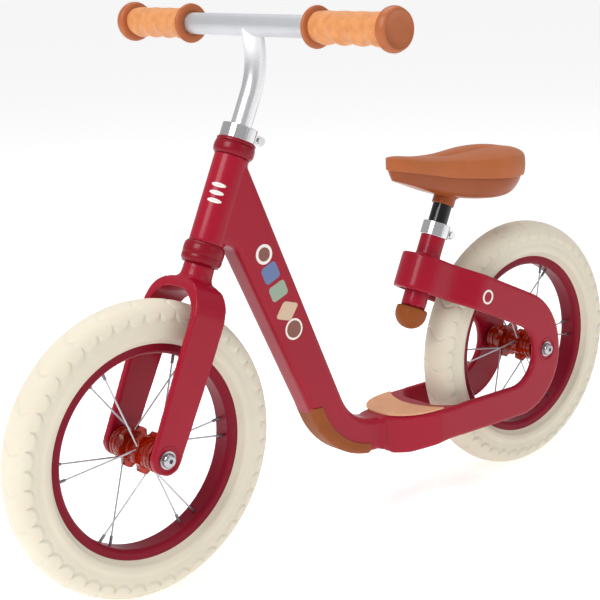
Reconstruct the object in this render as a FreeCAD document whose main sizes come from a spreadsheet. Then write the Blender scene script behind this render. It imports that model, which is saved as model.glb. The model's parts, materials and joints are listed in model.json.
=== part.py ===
import FreeCAD, Part
import math
import os

import Sketcher

# Child's balance bike: a cast frame without pedals, a flat-band fork, two spoked
# wheels with solid foam tyres, a raised handlebar and a sprung-less saddle.
# Millimetres. +X is forward, +Y is the rider's left, +Z is up. The origin is on
# the ground, midway between the axles and in the middle plane.
#
# Three tilted systems are used besides the ground system. The steering system
# and the seat system have their own Z along the tube and their own X forward,
# square to it; each wheel system sits at its axle.

DIMENSIONS = {
    # Overall layout
    "wheel_radius": 150.0,
    "wheel_gap": 250.0,
    "tube_tilt": 24.0,
    "foot_above_axle": 50.0,
    "steer_foot_back": 25.7,
    "seat_foot_gap": 38.2,
    # Clearances
    "running_clearance": 0.05,
    "joint_gap": 0.5,
    # Head tube and headset, heights along the steering axis
    "head_length": 92.0,
    "head_wall": 2.5,
    "cup_lip": 3.5,
    "cup_height": 12.0,
    "cup_floor": 3.0,
    "race_height": 6.5,
    "cap_height": 3.5,
    "cup_wall": 2.0,
    "bearing_height": 7.0,
    "steerer_wall": 2.95,
    "steerer_gap": 1.0,
    # Beam and deck
    "beam_width": 33.0,
    "beam_depth": 41.0,
    "beam_meet": 66.9,
    "beam_round": 7.5,
    "bend_inner": 56.0,
    "bend_outer": 98.0,
    "deck_bottom": 76.0,
    "deck_height": 38.0,
    "bend_run": 58.04,
    "deck_tail": 23.5,
    "deck_round": 4.0,
    "opening_gap": 18.5,
    "pad_height": 2.0,
    "pad_margin": 4.0,
    "guard_thickness": 2.0,
    "guard_side": 1.2,
    "guard_reach": 11.0,
    "guard_tail": 22.0,
    "guard_height": 72.0,
    "web_reach": 27.0,
    "web_round": 10.0,
    # Stays, seat loop and seat tube
    "stay_side_gap": 18.0,
    "stay_wall": 8.5,
    "stay_round": 2.0,
    "stay_behind_axle": 25.0,
    "stay_ahead_axle": 21.0,
    "band_low": 46.0,
    "band_depth": 41.5,
    "loop_start": -66.0,
    "loop_radius": 28.5,
    "loop_wall": 7.0,
    "loop_top": 8.0,
    "seat_tube_low": 28.0,
    "seat_tube_length": 98.0,
    "seat_tube_wall": 3.15,
    "seat_collar_height": 16.0,
    "seat_collar_wall": 1.9,
    "plug_lip": 3.7,
    "plug_height": 24.5,
    "plug_insert": 4.0,
    # Fork
    "fork_side_gap": 15.0,
    "fork_wall": 8.0,
    "fork_tyre_gap": 12.13,
    "fork_roof": 12.0,
    "fork_tip_radius": 15.5,
    "fork_wide": 38.0,
    "fork_mid": 3.0,
    "neck_wall": 2.0,
    "neck_height": 18.0,
    "neck_socket": 20.0,
    "stem_collar_height": 14.0,
    "stem_collar_wall": 4.5,
    # Axle set
    "axle_radius": 5.0,
    "bolt_radius": 7.2,
    "bolt_height": 5.0,
    "bolt_socket": 2.5,
    "shank_radius": 3.0,
    "shank_length": 12.0,
    "washer_radius": 9.0,
    "washer_height": 1.2,
    "recess_room": 3.5,
    "recess_depth": 1.0,
    "spacer_wall": 2.0,
    # Wheels
    "tyre_half_width": 22.0,
    "tyre_height": 40.0,
    "rim_depth": 12.0,
    "rim_half_width": 13.0,
    "rim_floor": 5.0,
    "rim_wall": 2.8,
    "barrel_radius": 11.0,
    "flange_radius": 21.0,
    "flange_inner_y": 10.0,
    "flange_width": 7.0,
    "housing_wall": 3.0,
    "housing_end_y": 34.5,
    "wheel_bearing_ring": 8.0,
    "wheel_bearing_width": 8.0,
    "spoke_radius": 0.9,
    "spoke_seat_radius": 17.0,
    "spoke_lean": 35.0,
    "nipple_radius": 1.6,
    "nipple_length": 9.0,
    # Handlebar
    "stem_radius": 11.0,
    "stem_wall": 2.0,
    "stem_drop": 5.0,
    "bend_above_head": 91.0,
    "stem_bend_round": 95.0,
    "bar_forward": 24.1,
    "bar_above_bend": 36.4,
    "bar_half_length": 200.0,
    "grip_start": 97.0,
    "grip_flange": 6.0,
    "grip_flange_lip": 9.3,
    "grip_sleeve_end": 199.0,
    "grip_wall": 4.0,
    "grip_cap_lip": 10.0,
    "grip_end_wall": 11.0,
    # Saddle
    "post_radius": 11.1,
    "post_low": 36.0,
    "bracket_low": 150.0,
    "bracket_wall": 1.9,
    "bracket_top": 166.0,
    "saddle_nose_ahead": 25.8,
    "saddle_length": 207.0,
    "saddle_half_width": 51.0,
    "saddle_nose_half": 21.0,
    "saddle_rise": 197.0,
    "saddle_round": 9.0,
}

BODY_AXIS = {"Z": "Z_Axis", "Y": "Y_Axis"}


class Size:
    """A number together with the sheet expression that gives it."""

    def __init__(self, value, text):
        self.value = value
        self.text = text

    def __add__(self, other):
        other = size(other)
        return Size(self.value + other.value, "(%s + %s)" % (self.text, other.text))

    def __sub__(self, other):
        other = size(other)
        return Size(self.value - other.value, "(%s - %s)" % (self.text, other.text))

    def __mul__(self, other):
        other = size(other)
        return Size(self.value * other.value, "(%s * %s)" % (self.text, other.text))

    def __truediv__(self, other):
        other = size(other)
        return Size(self.value / other.value, "(%s / %s)" % (self.text, other.text))

    def __neg__(self):
        return Size(-self.value, "(0 - %s)" % self.text)

    def __radd__(self, other):
        return size(other) + self

    def __rsub__(self, other):
        return size(other) - self

    def __rmul__(self, other):
        return size(other) * self


def size(value):
    """Gives a plain number the same form as a value from the sheet."""
    if isinstance(value, Size):
        return value
    return Size(float(value), "(%.6f)" % value)


def sine(angle):
    return Size(math.sin(math.radians(angle.value)), "sin(%s * 1 deg)" % angle.text)


def cosine(angle):
    return Size(math.cos(math.radians(angle.value)), "cos(%s * 1 deg)" % angle.text)


class Sheet:
    """The spreadsheet of driving dimensions, each readable as an attribute."""

    def __init__(self, document):
        self.cells = document.addObject("Spreadsheet::Sheet", "sizes")
        for row, (name, value) in enumerate(DIMENSIONS.items(), start=1):
            self.cells.set("A%d" % row, name)
            self.cells.set("B%d" % row, str(value))
            self.cells.setAlias("B%d" % row, name)
            setattr(self, name, Size(value, "sizes.%s" % name))


doc = FreeCAD.newDocument("balance_bike")
d = Sheet(doc)
doc.recompute()
TILT_SINE = sine(d.tube_tilt)
TILT_COSINE = cosine(d.tube_tilt)
TILT_TANGENT = TILT_SINE / TILT_COSINE
FRONT_AXLE_X = d.wheel_radius + d.wheel_gap / 2
REAR_AXLE_X = -FRONT_AXLE_X
NODES = []

# Where the two tubes' axes stand: the steering foot behind the front axle, and
# the seat foot in front of the rear tyre.
d.foot_height = d.wheel_radius + d.foot_above_axle
d.steer_foot_x = FRONT_AXLE_X - d.steer_foot_back
d.seat_foot_x = REAR_AXLE_X + d.wheel_radius + d.seat_foot_gap


def steer_point(forward, along):
    """Ground x and z of a point given in the steering system."""
    x = d.steer_foot_x + TILT_COSINE * forward - TILT_SINE * along
    z = d.foot_height + TILT_SINE * forward + TILT_COSINE * along
    return x, z


def seat_point(forward, along):
    """Ground x and z of a point given in the seat system."""
    x = d.seat_foot_x + TILT_COSINE * forward - TILT_SINE * along
    z = d.foot_height + TILT_SINE * forward + TILT_COSINE * along
    return x, z


def in_steering(x, z):
    """Steering-system forward and along values of a ground point."""
    run = x - d.steer_foot_x
    rise = z - d.foot_height
    return TILT_COSINE * run + TILT_SINE * rise, TILT_COSINE * rise - TILT_SINE * run


# Round pieces that fit in one another, from the bar outwards.
d.stem_bore = d.stem_radius - d.stem_wall
d.steerer_radius = d.stem_radius + d.running_clearance + d.steerer_wall
d.head_bore = d.steerer_radius + d.steerer_gap
d.head_radius = d.head_bore + d.head_wall
d.cup_radius = d.head_radius + d.cup_lip
d.bearing_radius = d.cup_radius - d.cup_wall
d.neck_radius = d.steerer_radius + d.neck_wall
d.grip_flange_radius = d.stem_radius + d.grip_flange_lip
d.grip_radius = d.stem_radius + d.grip_wall
d.grip_cap_radius = d.stem_radius + d.grip_cap_lip
d.grip_end = d.bar_half_length + d.grip_end_wall
d.seat_tube_bore = d.post_radius + d.running_clearance
d.seat_tube_radius = d.seat_tube_bore + d.seat_tube_wall
d.plug_radius = d.seat_tube_radius + d.plug_lip
d.bracket_radius = d.post_radius + d.bracket_wall
d.spacer_radius = d.axle_radius + d.spacer_wall
d.wheel_bearing_radius = d.axle_radius + d.wheel_bearing_ring
d.housing_radius = d.wheel_bearing_radius + d.housing_wall
d.recess_radius = d.washer_radius + d.recess_room
d.rim_radius = d.wheel_radius - d.tyre_height
d.rim_inner = d.rim_radius - d.rim_depth

# The fork and the stays clear the tyre on each side and on top; the headset, the
# head tube and the stem are stacked on the fork.
d.fork_out = d.tyre_half_width + d.fork_side_gap + d.fork_wall
d.stay_out = d.tyre_half_width + d.stay_side_gap + d.stay_wall
AXLE_ALONG = in_steering(FRONT_AXLE_X, d.wheel_radius)[1]
d.fork_top = AXLE_ALONG + d.wheel_radius + d.fork_tyre_gap + d.fork_roof
d.neck_top = d.fork_top + d.neck_height
d.head_low = d.neck_top + d.race_height + d.joint_gap + d.cup_height
d.stem_low = d.head_low - d.stem_drop
d.stem_bend = d.head_low + d.head_length + d.bend_above_head
d.bar_up = d.stem_bend + d.bar_above_bend

# The deck stands in front of the rear tyre; the beam's middle line runs from the
# deck's middle to its meeting point on the steering axis.
d.opening_front_x = REAR_AXLE_X + d.wheel_radius + d.opening_gap
d.deck_back_x = d.opening_front_x - d.deck_tail
MEET_X, MEET_Z = steer_point(size(0.0), d.head_low + d.beam_meet)
d.beam_bend_x = MEET_X - (MEET_Z - d.deck_bottom - d.deck_height / 2) * TILT_TANGENT
d.deck_front_x = d.beam_bend_x - d.bend_run
d.guard_back_x = d.deck_front_x + d.guard_tail
d.guard_top = d.deck_bottom - d.guard_thickness + d.guard_height
d.stay_end_x = REAR_AXLE_X - d.stay_behind_axle
d.stay_slot_x = REAR_AXLE_X + d.stay_ahead_axle
d.saddle_nose_x = d.seat_foot_x + d.saddle_nose_ahead
d.saddle_tail_x = d.saddle_nose_x - d.saddle_length
d.saddle_top = d.foot_height + d.saddle_rise

GROUND = {"x": None, "z": None, "tilted": False}
STEERING = {"x": d.steer_foot_x, "z": d.foot_height, "tilted": True}
SEAT = {"x": d.seat_foot_x, "z": d.foot_height, "tilted": True}
FRONT_WHEEL = {"x": FRONT_AXLE_X, "z": d.wheel_radius, "tilted": False}
REAR_WHEEL = {"x": REAR_AXLE_X, "z": d.wheel_radius, "tilted": False}
BAR_X, BAR_Z = steer_point(d.bar_forward, d.bar_up)
BAR = {"x": BAR_X, "z": BAR_Z, "tilted": False}


def locate(thing, system):
    """Binds an object's Placement to the system it is drawn in."""
    if system["tilted"]:
        turn = FreeCAD.Rotation(FreeCAD.Vector(0, -1, 0), d.tube_tilt.value)
        thing.Placement = FreeCAD.Placement(FreeCAD.Vector(0, 0, 0), turn)
        thing.setExpression(".Placement.Rotation.Angle", "sizes.tube_tilt * 1 deg")
    for axis in ("x", "z"):
        if system[axis] is not None:
            thing.setExpression(".Placement.Base.%s" % axis, "%s * 1 mm" % system[axis].text)


def start_body(label, system):
    """A new body, placed in its system and noted as one of the sub-parts."""
    body = doc.addObject("PartDesign::Body", label)
    body.Label = label
    locate(body, system)
    NODES.append(body)
    return body


def origin_feature(body, role):
    return [item for item in body.Origin.OriginFeatures if item.Role == role][0]


def start_sketch(body, name, plane, offset=None):
    """A sketch on one of the body's own origin planes, moved along its normal."""
    sketch = body.newObject("Sketcher::SketchObject", "%s_%s" % (body.Label, name))
    sketch.AttachmentSupport = [(origin_feature(body, plane), "")]
    sketch.MapMode = "FlatFace"
    if offset is not None:
        sketch.setExpression(".AttachmentOffset.Base.z", "%s * 1 mm" % offset.text)
    return sketch


def pin_vertex(sketch, geometry, vertex, x, y):
    """Fixes one point of a sketch at bound distances from the origin."""
    for kind, measure in (("DistanceX", x), ("DistanceY", y)):
        rule = Sketcher.Constraint(kind, -1, 1, geometry, vertex, measure.value)
        index = sketch.addConstraint(rule)
        sketch.setExpression("Constraints[%d]" % index, measure.text)


def bind_radius(sketch, geometry, radius):
    index = sketch.addConstraint(Sketcher.Constraint("Radius", geometry, radius.value))
    sketch.setExpression("Constraints[%d]" % index, radius.text)


def corner_arc(before, corner, after, radius):
    """Tangent points and arc that round one corner of an outline."""
    back = FreeCAD.Vector(before.x - corner.x, before.y - corner.y, 0).normalize()
    ahead = FreeCAD.Vector(after.x - corner.x, after.y - corner.y, 0).normalize()
    half = back.getAngle(ahead) / 2
    reach = radius / math.tan(half)
    middle = (back + ahead).normalize()
    centre = corner + middle * (radius / math.sin(half))
    entry = corner + back * reach
    leave = corner + ahead * reach
    left_turn = (corner - before).cross(after - corner).z > 0
    first, last = (entry, leave) if left_turn else (leave, entry)
    start = math.atan2(first.y - centre.y, first.x - centre.x)
    end = math.atan2(last.y - centre.y, last.x - centre.x)
    circle = Part.Circle(centre, FreeCAD.Vector(0, 0, 1), radius)
    return entry, leave, Part.ArcOfCircle(circle, start, end), left_turn


def draw_outline(sketch, corners, closed=True):
    """Draws a polygon whose corners (x, y) may be rounded, as (x, y, radius)."""
    points = []
    for corner in corners:
        x, y = size(corner[0]), size(corner[1])
        radius = size(corner[2]) if len(corner) > 2 else None
        points.append((x, y, radius, FreeCAD.Vector(x.value, y.value, 0)))
    count = len(points)
    rounded = {}
    for index in range(count):
        if points[index][2] is not None:
            before = points[index - 1][3]
            after = points[(index + 1) % count][3]
            rounded[index] = corner_arc(before, points[index][3], after, points[index][2].value)
    edges = []
    for index in range(count if closed else count - 1):
        follow = (index + 1) % count
        start = rounded[index][1] if index in rounded else points[index][3]
        end = rounded[follow][0] if follow in rounded else points[follow][3]
        edges.append(sketch.addGeometry(Part.LineSegment(start, end)))
    for index in range(count):
        x, y, radius, place = points[index]
        leaving = edges[index] if index < len(edges) else None
        arriving = edges[index - 1] if closed or index > 0 else None
        if index in rounded:
            arc = sketch.addGeometry(rounded[index][2])
            near, far = (1, 2) if rounded[index][3] else (2, 1)
            mark = sketch.addGeometry(Part.Point(place), True)
            sketch.addConstraint(Sketcher.Constraint("Tangent", arriving, 2, arc, near))
            sketch.addConstraint(Sketcher.Constraint("Tangent", arc, far, leaving, 1))
            bind_radius(sketch, arc, radius)
            sketch.addConstraint(Sketcher.Constraint("PointOnObject", mark, 1, arriving))
            sketch.addConstraint(Sketcher.Constraint("PointOnObject", mark, 1, leaving))
            pin_vertex(sketch, mark, 1, x, y)
        elif arriving is None:
            pin_vertex(sketch, leaving, 1, x, y)
        elif leaving is None:
            pin_vertex(sketch, arriving, 2, x, y)
        else:
            sketch.addConstraint(Sketcher.Constraint("Coincident", arriving, 2, leaving, 1))
            pin_vertex(sketch, leaving, 1, x, y)


def draw_circle(sketch, x, y, radius):
    x, y, radius = size(x), size(y), size(radius)
    centre = FreeCAD.Vector(x.value, y.value, 0)
    circle = Part.Circle(centre, FreeCAD.Vector(0, 0, 1), radius.value)
    index = sketch.addGeometry(circle)
    bind_radius(sketch, index, radius)
    pin_vertex(sketch, index, 3, x, y)


def pad(body, sketch, length, symmetric=False, reverse=False):
    """Extrudes a sketch along its normal, against it, or both ways."""
    feature = body.newObject("PartDesign::Pad", sketch.Name + "_pad")
    feature.Profile = sketch
    feature.Midplane = symmetric
    feature.Reversed = reverse
    feature.setExpression("Length", size(length).text)
    sketch.Visibility = False
    return feature


def pocket(body, sketch, length=None, symmetric=False, reverse=False):
    """Cuts a sketch to a depth, or through everything when none is given."""
    feature = body.newObject("PartDesign::Pocket", sketch.Name + "_cut")
    feature.Profile = sketch
    feature.Midplane = symmetric
    feature.Reversed = reverse
    if length is None:
        feature.Type = 1
    else:
        feature.setExpression("Length", size(length).text)
    return feature


def turn_profile(body, name, corners, axis="Z", cut=False):
    """Revolves a half outline (radius, height) about the body's own axis."""
    plane = "XZ_Plane" if axis == "Z" else "XY_Plane"
    sketch = start_sketch(body, name, plane)
    draw_outline(sketch, corners)
    kind = "PartDesign::Groove" if cut else "PartDesign::Revolution"
    feature = body.newObject(kind, "%s_%s_turn" % (body.Label, name))
    feature.Profile = sketch
    feature.ReferenceAxis = (origin_feature(body, BODY_AXIS[axis]), [""])
    feature.Angle = 360
    return feature


def turned(label, system, corners, axis="Z"):
    """A sub-part that is one revolved outline."""
    body = start_body(label, system)
    turn_profile(body, "profile", corners, axis)
    return body


def ring(label, system, inner, outer, low, high, axis="Z", edge=None):
    """A plain ring or, with an inner radius of nought, a disc or rod."""
    corners = [(inner, low), (outer, low), (outer, high), (inner, high)]
    if edge is not None:
        corners[1] = (outer, low, edge)
        corners[2] = (outer, high, edge)
    return turned(label, system, corners, axis)


def checked_cut(body, feature):
    """Makes sure that a cut took something away from the piece."""
    doc.recompute()
    base = feature.BaseFeature
    if feature.Shape.Volume >= base.Shape.Volume - 0.01:
        raise RuntimeError("%s: %s cuts nothing" % (body.Label, feature.Name))


def round_edges(body, radius, wanted):
    """Fillets the edges of the body's last feature that pass the test."""
    doc.recompute()
    tip = body.Tip
    names = []
    for index, edge in enumerate(tip.Shape.Edges, start=1):
        if wanted(edge):
            names.append("Edge%d" % index)
    feature = body.newObject("PartDesign::Fillet", body.Label + "_round")
    feature.Base = (tip, names)
    feature.setExpression("Radius", size(radius).text)
    return feature


def drill_sideways(body, x, z, radius):
    """A round hole through a piece along the bike's width."""
    sketch = start_sketch(body, "hole_%d" % len(body.Group), "XZ_Plane")
    draw_circle(sketch, x, z, radius)
    checked_cut(body, pocket(body, sketch, 400, symmetric=True))


def recess_outside(body, x, z, radius, face, depth, side):
    """A shallow round recess in an outer face; side is 1 for left, -1 for right."""
    floor = (face - depth) * (-side)
    sketch = start_sketch(body, "recess_%d" % len(body.Group), "XZ_Plane", floor)
    draw_circle(sketch, x, z, radius)
    checked_cut(body, pocket(body, sketch, depth * 3, reverse=side < 0))


# ---------------------------------------------------------------- frame casting

HEAD_HIGH = d.head_low + d.head_length
DECK_TOP = d.deck_bottom + d.deck_height
DECK_MIDDLE = d.deck_bottom + d.deck_height / 2
BAND_HIGH = d.band_low + d.band_depth
STAY_IN = d.stay_out - d.stay_wall


def make_head_tube():
    ring("head_tube", STEERING, d.head_bore, d.head_radius, d.head_low, HEAD_HIGH)


def beam_edge(height, side, inset=0.0):
    """Ground x of the beam's front (1) or rear (-1) edge line at a height."""
    middle = d.beam_bend_x + (height - DECK_MIDDLE) * TILT_TANGENT
    return middle + side * (d.beam_depth / 2 - inset) / TILT_COSINE


def on_one_side(edge, half_width):
    """True for an edge that lies in one of the two side faces."""
    left = all(abs(v.Y - half_width) < 0.01 for v in edge.Vertexes)
    right = all(abs(v.Y + half_width) < 0.01 for v in edge.Vertexes)
    return left or right


def make_down_beam():
    """Side outline with its bend and head end, rounded and coped to the head tube."""
    body = start_body("down_beam", GROUND)
    top_rear = steer_point(size(-11.0), HEAD_HIGH - 4)
    top_front = steer_point(size(-2.0), HEAD_HIGH - 4)
    low_front = steer_point(size(-2.0), d.head_low + 5)
    web = steer_point(-d.web_reach, d.head_low + 4)
    sketch = start_sketch(body, "side", "XZ_Plane")
    corners = [
        (d.deck_front_x, d.deck_bottom),
        (beam_edge(d.deck_bottom, 1), d.deck_bottom, d.bend_outer),
        (web[0], web[1], d.web_round),
        low_front,
        top_front,
        top_rear,
        (beam_edge(DECK_TOP, -1), DECK_TOP, d.bend_inner),
        (d.deck_front_x, DECK_TOP),
    ]
    draw_outline(sketch, corners)
    pad(body, sketch, d.beam_width, symmetric=True)
    buried = [FreeCAD.Vector(x.value, 0, z.value) for x, z in (top_front, low_front)]
    front_x = d.deck_front_x.value

    def is_long_side(edge):
        at_deck = all(abs(v.X - front_x) < 0.01 for v in edge.Vertexes)
        ends = [FreeCAD.Vector(v.X, 0, v.Z) for v in edge.Vertexes]
        at_head = any((end - point).Length < 0.01 for end in ends for point in buried)
        return on_one_side(edge, d.beam_width.value / 2) and not at_deck and not at_head

    round_edges(body, d.beam_round, is_long_side)
    cutter = doc.addObject("Part::Cylinder", "head_cope")
    cutter.setExpression("Radius", d.head_radius.text)
    cutter.setExpression("Height", (HEAD_HIGH + 20).text)
    locate(cutter, STEERING)
    return body, cutter


def join(label, kind, base, tool):
    """A sub-part made of two objects by a Part boolean."""
    result = doc.addObject("Part::" + kind, label)
    result.Base = base
    result.Tool = tool
    result.Label = label
    for item in (base, tool):
        if item in NODES:
            NODES.remove(item)
    NODES.append(result)
    return result


def make_beam():
    blank, cutter = make_down_beam()
    blank.Label = "beam_blank"
    return join("down_beam", "Cut", blank, cutter)


def make_scuff_guard(beam):
    """A wrap on the outside of the bend, hollowed by the beam itself."""
    blank = start_body("guard_blank", GROUND)
    sketch = start_sketch(blank, "side", "XZ_Plane")
    low = d.deck_bottom - d.guard_thickness
    high = d.guard_top
    inside = d.deck_bottom + d.guard_reach
    corners = [
        (d.deck_front_x, low),
        (beam_edge(low, 1, -d.guard_thickness), low, d.bend_outer),
        (beam_edge(high, 1, -d.guard_thickness), high),
        (beam_edge(high, 1, d.guard_reach), high),
        (beam_edge(inside, 1, d.guard_reach), inside,
         d.bend_outer - d.guard_reach - d.guard_thickness),
        (d.deck_front_x, inside),
    ]
    draw_outline(sketch, corners)
    width = d.beam_width + d.guard_side * 2
    pad(blank, sketch, width, symmetric=True)
    floor = low.value
    incline = beam_edge(high, 1, -d.guard_thickness).value

    def is_outer(edge):
        if not on_one_side(edge, width.value / 2):
            return False
        if edge.Curve.TypeId == "Part::GeomCircle":
            return edge.Curve.Radius > d.bend_outer.value - 1
        level_floor = all(abs(v.Z - floor) < 0.01 for v in edge.Vertexes)
        reach = max(v.X for v in edge.Vertexes)
        tall = abs(edge.Vertexes[0].Z - edge.Vertexes[-1].Z) > 0.01
        return level_floor or (abs(reach - incline) < 0.01 and tall)

    round_edges(blank, d.beam_round + 1, is_outer)
    end = start_sketch(blank, "end", "XZ_Plane")
    draw_outline(end, [
        (d.deck_front_x - 5, low - 5), (d.guard_back_x, low - 5),
        (d.guard_back_x, inside + 5), (d.deck_front_x - 5, inside + 5)])
    checked_cut(blank, pocket(blank, end, symmetric=True))
    join("scuff_guard", "Cut", blank, beam)
    NODES.append(beam)


def both_sides(half):
    """Closes a plan outline: the given left half and its mirror image."""
    mirrored = []
    for corner in reversed(half):
        mirrored.append((corner[0], -size(corner[1])) + tuple(corner[2:]))
    return half + mirrored


def make_deck():
    """The footrest platform, flaring from the beam to the two stays."""
    body = start_body("footrest_deck", GROUND)
    sketch = start_sketch(body, "plan", "XY_Plane", d.deck_bottom)
    x0 = d.deck_front_x
    half = [
        (d.deck_back_x, STAY_IN),
        (d.deck_back_x, d.stay_out),
        (x0 - 56, d.stay_out, 34.0),
        (x0 - 22, d.stay_out - 14, 26.0),
        (x0 - 3, d.beam_width / 2, 6.0),
        (x0, d.beam_width / 2),
    ]
    front = both_sides(half)
    opening = [
        (d.deck_back_x, -STAY_IN),
        (d.opening_front_x - 14, -STAY_IN + 1, 8.0),
        (d.opening_front_x, -STAY_IN + 16, 14.0),
        (d.opening_front_x, STAY_IN - 16, 14.0),
        (d.opening_front_x - 14, STAY_IN - 1, 8.0),
    ]
    draw_outline(sketch, front[:-1] + opening)
    pad(body, sketch, d.deck_height)
    low, high = d.deck_bottom.value, DECK_TOP.value
    ends = (d.deck_front_x.value, d.deck_back_x.value)

    def is_rim(edge):
        level = any(all(abs(v.Z - z) < 0.01 for v in edge.Vertexes) for z in (low, high))
        at_end = any(all(abs(v.X - x) < 0.01 for v in edge.Vertexes) for x in ends)
        return level and not at_end

    round_edges(body, d.deck_round, is_rim)


def make_footrest_pad():
    body = start_body("footrest_pad", GROUND)
    sketch = start_sketch(body, "plan", "XY_Plane", DECK_TOP)
    x0 = d.deck_front_x
    rear = d.opening_front_x
    half = [
        (rear + 19, size(4.0), 6.0),
        (rear + 9, d.stay_out - 20, 16.0),
        (rear + 3, d.stay_out - d.pad_margin, 3.0),
        (x0 - 57, d.stay_out - d.pad_margin, 14.0),
        (x0 - 25, d.stay_out - d.pad_margin - 14, 26.0),
        (x0 - 7, d.beam_width / 2 - d.pad_margin, 10.0),
    ]
    draw_outline(sketch, both_sides(half))
    pad(body, sketch, d.pad_height)


def make_stay(label, side):
    """One flat stay: deck level, round the axle and back up to the seat loop."""
    body = start_body(label, GROUND)
    sketch = start_sketch(body, "side", "XZ_Plane", size(-side) * STAY_IN)
    top_end = seat_point(d.loop_start, BAND_HIGH)
    low_end = seat_point(d.loop_start, d.band_low)
    rear_high = top_end[1] + (d.stay_end_x - top_end[0]) * TILT_TANGENT
    slot_high = low_end[1] + (d.stay_slot_x - low_end[0]) * TILT_TANGENT
    corners = [
        (d.deck_back_x, d.deck_bottom),
        (d.stay_end_x, d.deck_bottom, 70.0),
        (d.stay_end_x, rear_high, 82.0),
        top_end,
        low_end,
        (d.stay_slot_x, slot_high, 34.0),
        (d.stay_slot_x, DECK_TOP, 36.0),
        (d.deck_back_x, DECK_TOP),
    ]
    draw_outline(sketch, corners)
    pad(body, sketch, d.stay_wall, reverse=side > 0)
    faces = (STAY_IN.value * side, d.stay_out.value * side)
    loop_end = [FreeCAD.Vector(x.value, 0, z.value) for x, z in (top_end, low_end)]

    def is_long(edge):
        flat = any(all(abs(v.Y - y) < 0.01 for v in edge.Vertexes) for y in faces)
        at_deck = all(abs(v.X - d.deck_back_x.value) < 0.01 for v in edge.Vertexes)
        ends = [FreeCAD.Vector(v.X, 0, v.Z) for v in edge.Vertexes]
        at_loop = all(any((e - p).Length < 0.01 for p in loop_end) for e in ends)
        return flat and not at_deck and not at_loop

    round_edges(body, d.stay_round, is_long)
    drill_sideways(body, REAR_AXLE_X, d.wheel_radius, d.axle_radius)
    recess_outside(body, REAR_AXLE_X, d.wheel_radius, d.recess_radius, d.stay_out,
                   d.recess_depth, side)


def make_seat_loop():
    """The band that wraps the seat tube, closed on top and open below."""
    body = start_body("seat_loop", SEAT)
    sketch = start_sketch(body, "plan", "XY_Plane", d.band_low)
    outer = d.loop_radius
    half = [
        (size(-30.0), outer - d.loop_wall, 7.0),
        (size(-51.0), STAY_IN, 16.0),
        (d.loop_start, STAY_IN),
        (d.loop_start, d.stay_out),
        (size(-50.0), d.stay_out, 26.0),
        (size(-22.0), outer, 26.0),
        (outer, outer, outer - 0.5),
    ]
    draw_outline(sketch, both_sides(half))
    pad(body, sketch, d.band_depth)
    hollow = start_sketch(body, "hollow", "XY_Plane", d.band_low)
    inner = outer - d.loop_wall
    half = [
        (size(-30.1), inner),
        (inner, inner, inner - 0.5),
    ]
    draw_outline(hollow, both_sides(half))
    depth = d.band_depth - d.loop_top
    checked_cut(body, pocket(body, hollow, depth, reverse=True))
    bore = turn_profile(body, "bore", [
        (0, d.band_low - 5), (d.seat_tube_radius, d.band_low - 5),
        (d.seat_tube_radius, BAND_HIGH + 5), (0, BAND_HIGH + 5)], cut=True)
    checked_cut(body, bore)


def make_seat_tube():
    top = d.seat_tube_low + d.seat_tube_length
    ring("seat_tube", SEAT, d.seat_tube_bore, d.seat_tube_radius, d.seat_tube_low, top)
    low = d.seat_tube_low - d.plug_height
    turned("seat_tube_plug", SEAT, [
        (0, low),
        (d.plug_radius, low, d.plug_radius - 0.5),
        (d.plug_radius, d.seat_tube_low, 3.0),
        (d.seat_tube_bore, d.seat_tube_low),
        (d.seat_tube_bore, d.seat_tube_low + d.plug_insert),
        (0, d.seat_tube_low + d.plug_insert),
    ])


def make_collar(label, bolt_label, system, inner, wall, low, height):
    """A split clamp collar with two lugs behind it and the bolt that closes it."""
    outer = inner + wall
    high = low + height
    body = start_body(label, system)
    turn_profile(body, "band", [
        (inner, low), (outer, low, 0.6), (outer, high, 0.6), (inner, high)])
    lugs = start_sketch(body, "lugs", "XZ_Plane")
    draw_outline(lugs, [
        (-(outer + 9), low + 2, 3.0), (-(inner + 0.4), low + 2),
        (-(inner + 0.4), high - 2), (-(outer + 9), high - 2, 3.0)])
    pad(body, lugs, 12.0, symmetric=True)
    slit = start_sketch(body, "slit", "XZ_Plane")
    draw_outline(slit, [
        (-(outer + 12), low - 1), (-(inner - 3), low - 1),
        (-(inner - 3), high + 1), (-(outer + 12), high + 1)])
    checked_cut(body, pocket(body, slit, 1.6, symmetric=True))
    drill_sideways(body, -(outer + 4.5), low + height / 2, 2.5)
    bolt = start_body(bolt_label, system)
    shank = start_sketch(bolt, "shank", "XZ_Plane")
    draw_circle(shank, -(outer + 4.5), low + height / 2, 2.5)
    pad(bolt, shank, 12.0, symmetric=True)
    for name, face in (("head", size(6.0)), ("nut", size(-9.5))):
        cap = start_sketch(bolt, name, "XZ_Plane", -(face + 3.5))
        draw_circle(cap, -(outer + 4.5), low + height / 2, 4.3)
        pad(bolt, cap, 3.5)
    return body


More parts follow.
